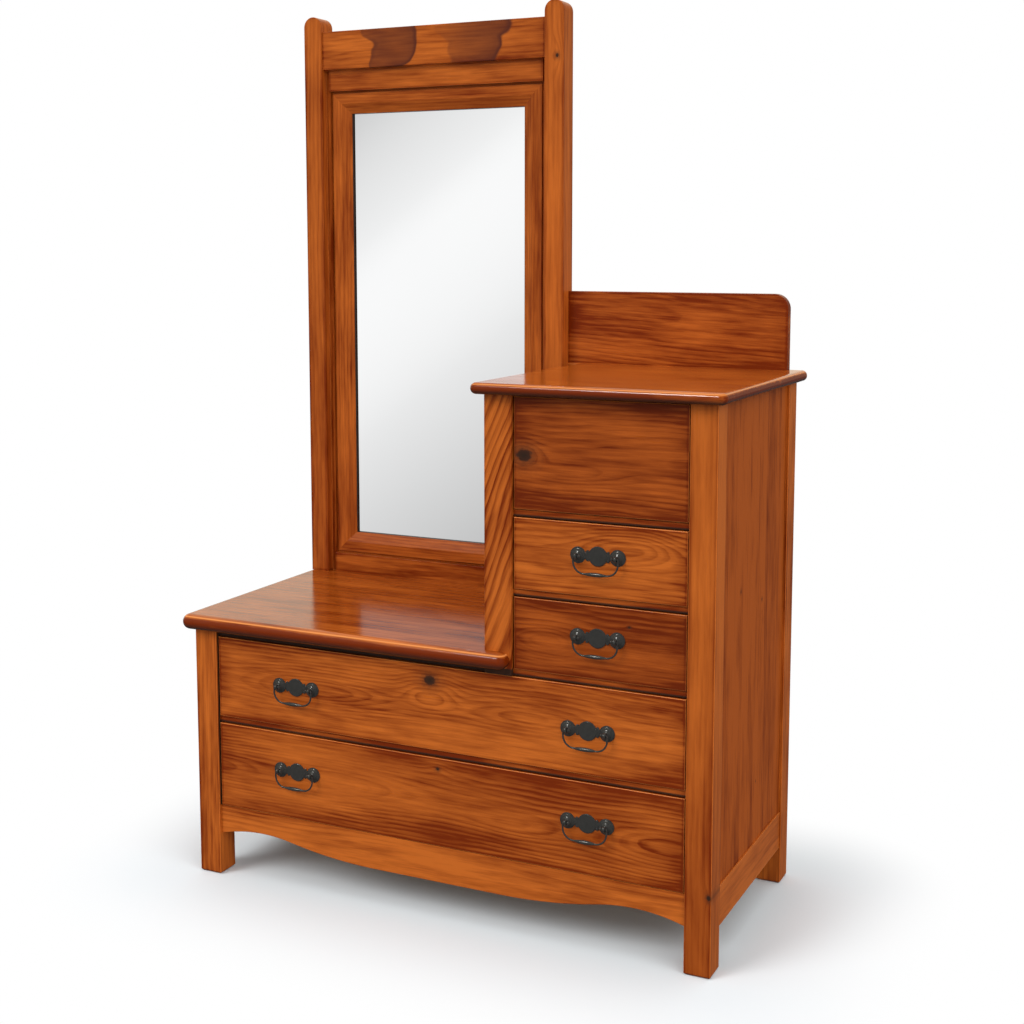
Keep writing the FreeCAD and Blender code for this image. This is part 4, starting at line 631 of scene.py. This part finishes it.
def heart_patch(ovals, faint_x, full_x):
    """The dark heart where the saw met it: a wavy-edged patch, darkest at its rim, that comes up slowly from
    one x to another. An oval is its middle (x, z) and its half width and height."""

    def mask(tree, place):
        bend = noise(tree, scaled(tree, place, HEART_WAVES), 2, 0.4)["Color"]
        bend = vector_math(tree, "SUBTRACT", bend, (0.5, 0.5, 0.5))
        bent = vector_math(tree, "ADD", scaled(tree, bend, HEART_BEND), place)
        nearest_oval = FAR_OUT
        for (x, z), (half_width, half_height) in ovals:
            away = vector_math(tree, "SUBTRACT", bent, (x, 0, z))
            size = length_of(tree, scaled(tree, away, (1 / half_width, 0, 1 / half_height)))
            nearest_oval = math_node(tree, "SMOOTH_MIN", size, nearest_oval, OVAL_BLEND)
        comes_up = eased(tree, split(tree, place)["X"], faint_x, full_x)
        return math_node(tree, "MULTIPLY", ramp(tree, nearest_oval, HEART_STOPS), comes_up)

    return mask


left_patch = heart_patch(
    [((-0.352, 1.748), (0.074, 0.042)), ((-0.338, 1.708), (0.062, 0.046)), ((-0.364, 1.672), (0.036, 0.036))],
    -0.48, -0.36,
)
right_patch = heart_patch(
    [((-0.140, 1.748), (0.098, 0.044)), ((-0.142, 1.695), (0.064, 0.054))],
    -0.27, -0.12,
)


def crest_heart(tree, place):
    return math_node(tree, "MAXIMUM", left_patch(tree, place), right_patch(tree, place))


crest_values = {"masks": {"Heart": crest_heart}, "wander": 0.03, "waves": 3, "contrast": 0.35, "shade": 0.12}
pine("crest_rail", 43, pith=(0.0, 0.045, -0.05), **crest_values)
pine("mirror_top_rail", 44, wander=0.015, contrast=0.45, shade=0.2)
pine("mirror_bottom_rail", 45, wander=0.01, contrast=0.5, shade=0.3)
pine("mirror_stiles", 46, along=Z_AXIS, wander=0.01, contrast=0.5, shade=0.5, stain=0)

ANY_DEPTH = 10
OPENING_MIDDLE, OPENING_HALF = (-0.2485, 0, 1.1055), (0.2108, ANY_DEPTH, 0.4698)


def rebate_shadow(tree, place):
    """The inner face of the moulding, against the glass, painted nearly black as shade."""
    away = vector_math(tree, "ABSOLUTE", vector_math(tree, "SUBTRACT", place, OPENING_MIDDLE))
    share = split(tree, vector_math(tree, "DIVIDE", away, OPENING_HALF))
    return math_node(tree, "LESS_THAN", math_node(tree, "MAXIMUM", share["X"], share["Z"]), 1.0)


moulding_values = {"masks": {"Knot And Painted Shade": rebate_shadow}, "wander": 0.012, "contrast": 0.4, "stain": 0}
pine("moulding_rails", 47, pith=(0, 0.06, 0.03), shade=0.38, **moulding_values)
pine("moulding_stiles", 48, along=Z_AXIS, pith=(0.03, 0.07, 0), shade=0.33, **moulding_values)

# ---------------------------------------------------------------------------------------------------------
# The glass: a flat silvered plate, laid in the frame behind the moulding and held there by its backing. It
# stands upright, and only its reflection is turned, by just over a degree. The dark line round it is painted
# shade on the inner face of the moulding.
# ---------------------------------------------------------------------------------------------------------
GLASS_LEAN = math.radians(1.2)
SILVER, SILVER_HAZE = (0.935, 0.942, 0.945, 1), (0.95, 0.953, 0.955, 1)
silver = bpy.data.materials.new("silvered_glass")
silver.use_nodes = True
silver_tree = silver.node_tree
silver_shader = silver_tree.nodes["Principled BSDF"]
glass_place = node(silver_tree, "ShaderNodeTexCoord").outputs["Object"]
haze = noise(silver_tree, scaled(silver_tree, glass_place, (3, 3, 3)), 2)["Fac"]
silver_tree.links.new(mixed(silver_tree, haze, SILVER, SILVER_HAZE), silver_shader.inputs["Base Color"])
glass_height = split(silver_tree, glass_place)["Z"]
lean_height = math_node(silver_tree, "MULTIPLY", glass_height, -math.tan(GLASS_LEAN))
glass_bump = node(silver_tree, "ShaderNodeBump", {"Height": lean_height, "Strength": 1.0, "Distance": 1.0})
silver_tree.links.new(glass_bump.outputs[0], silver_shader.inputs["Normal"])
silver_shader.inputs["Metallic"].default_value = 1.0
silver_shader.inputs["Roughness"].default_value = 0.0
finish("mirror_glass", silver)

# ---------------------------------------------------------------------------------------------------------
# Drawer fronts and the hat-box door: wide flat-sawn boards, so the rings close into long loops. Dark knots
# lie in four of them, the lower small front and the door are redder, and their edges are darkened by stain
# and painted shade, with wear and a painted highlight on the arris.
# ---------------------------------------------------------------------------------------------------------
NO_EYE = 0.0001
BOTTOM_FADE = (-0.3, 0.0, 0.2, 0.42)
front_values = {"wander": 0.02, "contrast": 0.64, "stain": 0.75, "rub": 2.3}
bottom_knots = [
    ((-0.36, FRONT_FACE, 0.235), NO_EYE, 0.22, 0.055, 0.055),
    ((0.005, FRONT_FACE, 0.300), 0.0025, 0.022, 0.013, 0.014),
    ((0.16, FRONT_FACE, 0.215), NO_EYE, 0.09, 0.03, 0.020),
    ((0.46, FRONT_FACE, 0.210), NO_EYE, 0.10, 0.04, 0.025),
]


def bottom_tone(tree, place):
    """The bottom front darkens to the right of its left pull."""
    return eased(tree, split(tree, place)["X"], *BOTTOM_FADE)


bottom_values = {**front_values, "masks": {"Shade": bottom_tone}, "waves": 1.6, "streaks": 0.8}
pine("bottom_drawer_front", 51, pith=(0, 0.03, 0), knot_spots=bottom_knots, **bottom_values)
middle_knots = [
    ((-0.011, FRONT_FACE, 0.471), 0.0085, 0.050, 0.045, 0.045),
    ((-0.26, FRONT_FACE, 0.420), NO_EYE, 0.16, 0.040, 0.035),
    ((0.20, FRONT_FACE, 0.425), NO_EYE, 0.11, 0.035, 0.020),
]
middle_values = {**front_values, "waves": 1.8, "shade": 0.16}
pine("middle_drawer_front", 52, pith=(0, 0.03, 0), knot_spots=middle_knots, **middle_values)
lower_small_knots = [
    ((0.390, FRONT_FACE, 0.617), 0.0016, 0.006, 0.005, 0.004),
    ((0.225, FRONT_FACE, 0.570), NO_EYE, 0.07, 0.03, 0.03),
]
redder_values = {**front_values, "early": (0.46, 0.098, 0.012, 1), "late": (0.15, 0.018, 0.0012, 1)}
pine("lower_small_drawer_front", 53, knot_spots=lower_small_knots, waves=3.5, shade=0.40, **redder_values)
upper_small_knots = [((0.385, FRONT_FACE, 0.762), NO_EYE, 0.075, 0.030, 0.045)]
pine("upper_small_drawer_front", 54, knot_spots=upper_small_knots, waves=3.0, shade=0.1, **front_values)
door_knots = [
    ((0.185, FRONT_FACE, 0.911), 0.0105, 0.032, 0.028, 0.02),
    ((0.30, FRONT_FACE, 0.880), NO_EYE, 0.08, 0.02, 0.02),
]
pine("hat_box_door", 55, knot_spots=door_knots, waves=2.6, shade=0.22, **redder_values)

# ---------------------------------------------------------------------------------------------------------
# Inside: unstained softwood for the drawer boxes, runners and guides, and thin plywood for bottoms and backs.
# None of it is lacquered.
# ---------------------------------------------------------------------------------------------------------
pale_values = {
    "early": (0.62, 0.40, 0.20, 1), "late": (0.40, 0.20, 0.07, 1), "wander": 0.015, "contrast": 0.6,
    "stain": 0, "rub": 0, "roughness": 0.42, "level": 0.3,
}
drawers = ("bottom_drawer", "middle_drawer", "lower_small_drawer", "upper_small_drawer")
for seed, drawer in enumerate(drawers, 61):
    pine(f"{drawer}_box", seed, along=Y_AXIS, inward=X_AXIS, **pale_values)
    pine(f"{drawer}_bottom", seed + 10, inward=Z_AXIS, **pale_values)
for seed, name in enumerate(("drawer_web_frames", "drawer_guides", "hat_box_floor"), 81):
    pine(name, seed, along=Y_AXIS, inward=Z_AXIS, **pale_values)
for seed, name in enumerate(("lower_back_panel", "tower_back_panel", "mirror_backing"), 91):
    pine(name, seed, **pale_values)

# ---------------------------------------------------------------------------------------------------------
# Pulls: iron castings with a satin black finish. A plate of two domed discs and a flat roundel is bolted
# through the front by two turned posts, and the bail swings in their ball heads.
# ---------------------------------------------------------------------------------------------------------
black = bpy.data.materials.new("blackened_iron")
black.use_nodes = True
black_tree = black.node_tree
black_shader = black_tree.nodes["Principled BSDF"]
iron_place = node(black_tree, "ShaderNodeTexCoord").outputs["Object"]
mottle = noise(black_tree, scaled(black_tree, iron_place, (160, 160, 160)), 4, 0.6)["Fac"]
grit = noise(black_tree, scaled(black_tree, iron_place, (1500, 1500, 1500)), 2)["Fac"]
iron_colour = mixed(black_tree, mottle, (0.058, 0.057, 0.054, 1), (0.090, 0.087, 0.080, 1))
black_tree.links.new(iron_colour, black_shader.inputs["Base Color"])
iron_roughness = math_node(black_tree, "MULTIPLY_ADD", mottle, 0.14, 0.14)
black_tree.links.new(iron_roughness, black_shader.inputs["Roughness"])
iron_bump = node(black_tree, "ShaderNodeBump", {"Height": grit, "Strength": 0.05, "Distance": 0.0005})
black_tree.links.new(iron_bump.outputs[0], black_shader.inputs["Normal"])
black_shader.inputs["Metallic"].default_value = 0.5

PULL_SPACING = 0.076
FRONT_THICKNESS = 0.020
PLATE_THICKNESS = 0.0025
ROSETTE, ROUNDEL = 0.015, 0.018
SOFT_EDGE, DOME_RISE = 0.0008, 0.0022
NECK_HALF_HEIGHT = 0.0062
SPUR_ACROSS, SPUR_UP = 0.0195, 0.0068
BAIL_REACH = 0.013
HEAD_RADIUS, HEAD_WIDTH = 0.0055, 0.0052


def turned(name, x, z, steps, sides=40):
    """A piece turned about Y: a disc is drawn at the first (y, radius), then extruded and scaled to each."""
    bpy.ops.object.select_all(action="DESELECT")
    start, radius = steps[0]
    face = {"vertices": sides, "radius": radius, "fill_type": "NGON"}
    bpy.ops.mesh.primitive_circle_add(location=(x, start, z), rotation=(math.pi / 2, 0, 0), **face)
    piece = bpy.context.object
    piece.name = name
    bpy.ops.object.transform_apply(location=True, rotation=True, scale=True)
    bpy.ops.object.mode_set(mode="EDIT")
    bpy.ops.mesh.select_all(action="SELECT")
    for y, wide in steps[1:]:
        move = {"value": (0, y - start, 0)}
        bpy.ops.mesh.extrude_region_move(TRANSFORM_OT_translate=move)
        grow = wide / radius
        bpy.ops.transform.resize(value=(grow, 1, grow), center_override=(x, y, z))
        start, radius = y, wide
    bpy.ops.mesh.select_all(action="SELECT")
    bpy.ops.mesh.normals_make_consistent(inside=False)
    bpy.ops.object.mode_set(mode="OBJECT")
    return piece


def dome(edge_y, radius, height, count=6):
    """Steps of a shallow dome that swells towards -Y from an edge."""
    angles = [math.pi / 2 * step / count for step in range(count)]
    return [(edge_y - height * math.sin(angle), radius * math.cos(angle)) for angle in angles]


def cast_bar(name, low, high, bevel):
    """A bar between two corners with rounded edges."""
    bpy.ops.object.select_all(action="DESELECT")
    middle = (Vector(low) + Vector(high)) / 2
    bpy.ops.mesh.primitive_cube_add(size=1, location=middle)
    piece = bpy.context.object
    piece.name = name
    piece.scale = Vector(high) - Vector(low)
    bpy.ops.object.transform_apply(location=True, rotation=True, scale=True)
    bpy.ops.object.mode_set(mode="EDIT")
    bpy.ops.mesh.select_all(action="SELECT")
    bpy.ops.mesh.bevel(offset=bevel, segments=3, affect="EDGES")
    bpy.ops.object.mode_set(mode="OBJECT")
    return piece


def cast_pull(name, x, z):
    """The fixed castings of one pull, with its posts, bolts and nuts, in one mesh. A head is a ball cut flat
    on both sides. It is left solid, without the eye that the bail's end turns in."""
    face = FRONT_FACE - PLATE_THICKNESS
    inside = FRONT_FACE + FRONT_THICKNESS
    parts = []
    rim = PLATE_THICKNESS - SOFT_EDGE
    for side in (-1, 1):
        post_x = x + side * PULL_SPACING / 2
        disc = [(FRONT_FACE, ROSETTE), (FRONT_FACE - rim, ROSETTE), (face, ROSETTE - SOFT_EDGE)]
        parts.append(turned(f"{name}_disc", post_x, z, disc + dome(face, ROSETTE - DOME_RISE, DOME_RISE)))
        foot = face - DOME_RISE
        shank = FRONT_FACE - BAIL_REACH
        collar = [(face, 0.0088), (foot + 0.0004, 0.0088), (foot - 0.0006, 0.0078), (foot - 0.0018, 0.0045)]
        neck = [(foot - 0.0026, 0.0034), (shank + 0.0052, 0.0032)]
        parts.append(turned(f"{name}_post", post_x, z, collar + neck, 32))
        angles = [math.pi * (0.05 + 0.9 * step / 12) for step in range(13)]
        round_head = [(shank + HEAD_RADIUS * math.cos(turn), HEAD_RADIUS * math.sin(turn)) for turn in angles]
        head = turned(f"{name}_head", post_x, z, round_head, 32)
        bpy.ops.object.mode_set(mode="EDIT")
        for way_x in (-1, 1):
            bpy.ops.mesh.select_all(action="SELECT")
            flat = (post_x + way_x * HEAD_WIDTH / 2, shank, z)
            bpy.ops.mesh.bisect(plane_co=flat, plane_no=(way_x, 0, 0), use_fill=True, clear_outer=True)
        bpy.ops.object.mode_set(mode="OBJECT")
        parts.append(head)
        bolt = [(face, 0.0025), (inside + 0.0046, 0.0025), (inside + 0.005, 0.0020)]
        parts.append(turned(f"{name}_bolt", post_x, z, bolt, 20))
        nut = [(inside, 0.005), (inside + 0.0036, 0.005), (inside + 0.004, 0.0045)]
        parts.append(turned(f"{name}_nut", post_x, z, nut, 6))
    flat_roundel = [(FRONT_FACE, ROUNDEL), (FRONT_FACE - rim, ROUNDEL), (face, ROUNDEL - 0.0009)]
    parts.append(turned(f"{name}_roundel", x, z, flat_roundel, 56))
    half_neck = PULL_SPACING / 2 - ROSETTE / 2
    low = (x - half_neck, face + 0.0003, z - NECK_HALF_HEIGHT)
    high = (x + half_neck, FRONT_FACE, z + NECK_HALF_HEIGHT)
    parts.append(cast_bar(f"{name}_neck", low, high, 0.0006))
    for side_x in (-1, 1):
        for side_z in (-1, 1):
            spur = (x + side_x * SPUR_ACROSS, z + side_z * SPUR_UP)
            steps = [(FRONT_FACE, 0.0032), (FRONT_FACE - rim, 0.0032), (face + 0.0002, 0.0025)]
            parts.append(turned(f"{name}_spur", *spur, steps, 16))
    bpy.ops.object.select_all(action="DESELECT")
    for part in parts:
        part.select_set(True)
    bpy.context.view_layer.objects.active = parts[0]
    bpy.ops.object.join()
    return parts[0]


PULL_ACROSS = 0.312
PULL_SMALL_X = 0.330
pull_places = {
    "bottom_drawer": ((-PULL_ACROSS, 0.245), (PULL_ACROSS, 0.245)),
    "middle_drawer": ((-PULL_ACROSS, 0.418), (PULL_ACROSS, 0.418)),
    "lower_small_drawer": ((PULL_SMALL_X, 0.5905),),
    "upper_small_drawer": ((PULL_SMALL_X, 0.739),),
}
for drawer, places in pull_places.items():
    castings = [cast_pull(f"{drawer}_casting", x, z) for x, z in places]
    bpy.ops.object.select_all(action="DESELECT")
    for casting in castings:
        casting.select_set(True)
    bpy.context.view_layer.objects.active = castings[0]
    if len(castings) > 1:
        bpy.ops.object.join()
    casting = castings[0]
    casting.name = f"{drawer}_pull_castings"
    bpy.ops.object.origin_set(type="ORIGIN_CURSOR")
    bpy.ops.object.shade_smooth_by_angle(angle=math.radians(35))
    casting.data.materials.clear()
    casting.data.materials.append(black)
    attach(casting, drawer)
    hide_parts(f"{drawer}_pulls")
for name in nodes:
    if name.endswith("_bail"):
        finish(name, black)

# ---------------------------------------------------------------------------------------------------------
# Small fittings: zinc-plated screws that fix the mirror's posts, clips that hold its backing, the door's
# pivot pins and striking plate, the brass bushes that the pins turn in, and a touch latch moulded in plastic.
# ---------------------------------------------------------------------------------------------------------
def plain_look(name, colour, metallic, roughness):
    """A metal or plastic with a faint mottle."""
    look = bpy.data.materials.new(name)
    look.use_nodes = True
    tree = look.node_tree
    shader = tree.nodes["Principled BSDF"]
    place = node(tree, "ShaderNodeTexCoord").outputs["Object"]
    cloud = noise(tree, scaled(tree, place, (90, 90, 90)), 3)["Fac"]
    darker = tuple(part * 0.75 for part in colour[:3]) + (1,)
    tree.links.new(mixed(tree, cloud, colour, darker), shader.inputs["Base Color"])
    tree.links.new(math_node(tree, "MULTIPLY_ADD", cloud, 0.1, roughness), shader.inputs["Roughness"])
    shader.inputs["Metallic"].default_value = metallic
    return look


zinc = plain_look("zinc_plate", (0.56, 0.56, 0.57, 1), 1.0, 0.3)
for name in ("mirror_post_screws", "backing_clips", "door_pivot_pins", "door_striker"):
    finish(name, zinc)
finish("door_pivot_bushes", plain_look("turned_brass", (0.72, 0.50, 0.20, 1), 1.0, 0.25))
latch_look = plain_look("brown_plastic", (0.10, 0.05, 0.03, 1), 0.0, 0.4)
finish("door_latch", latch_look)
finish("latch_plunger", latch_look)
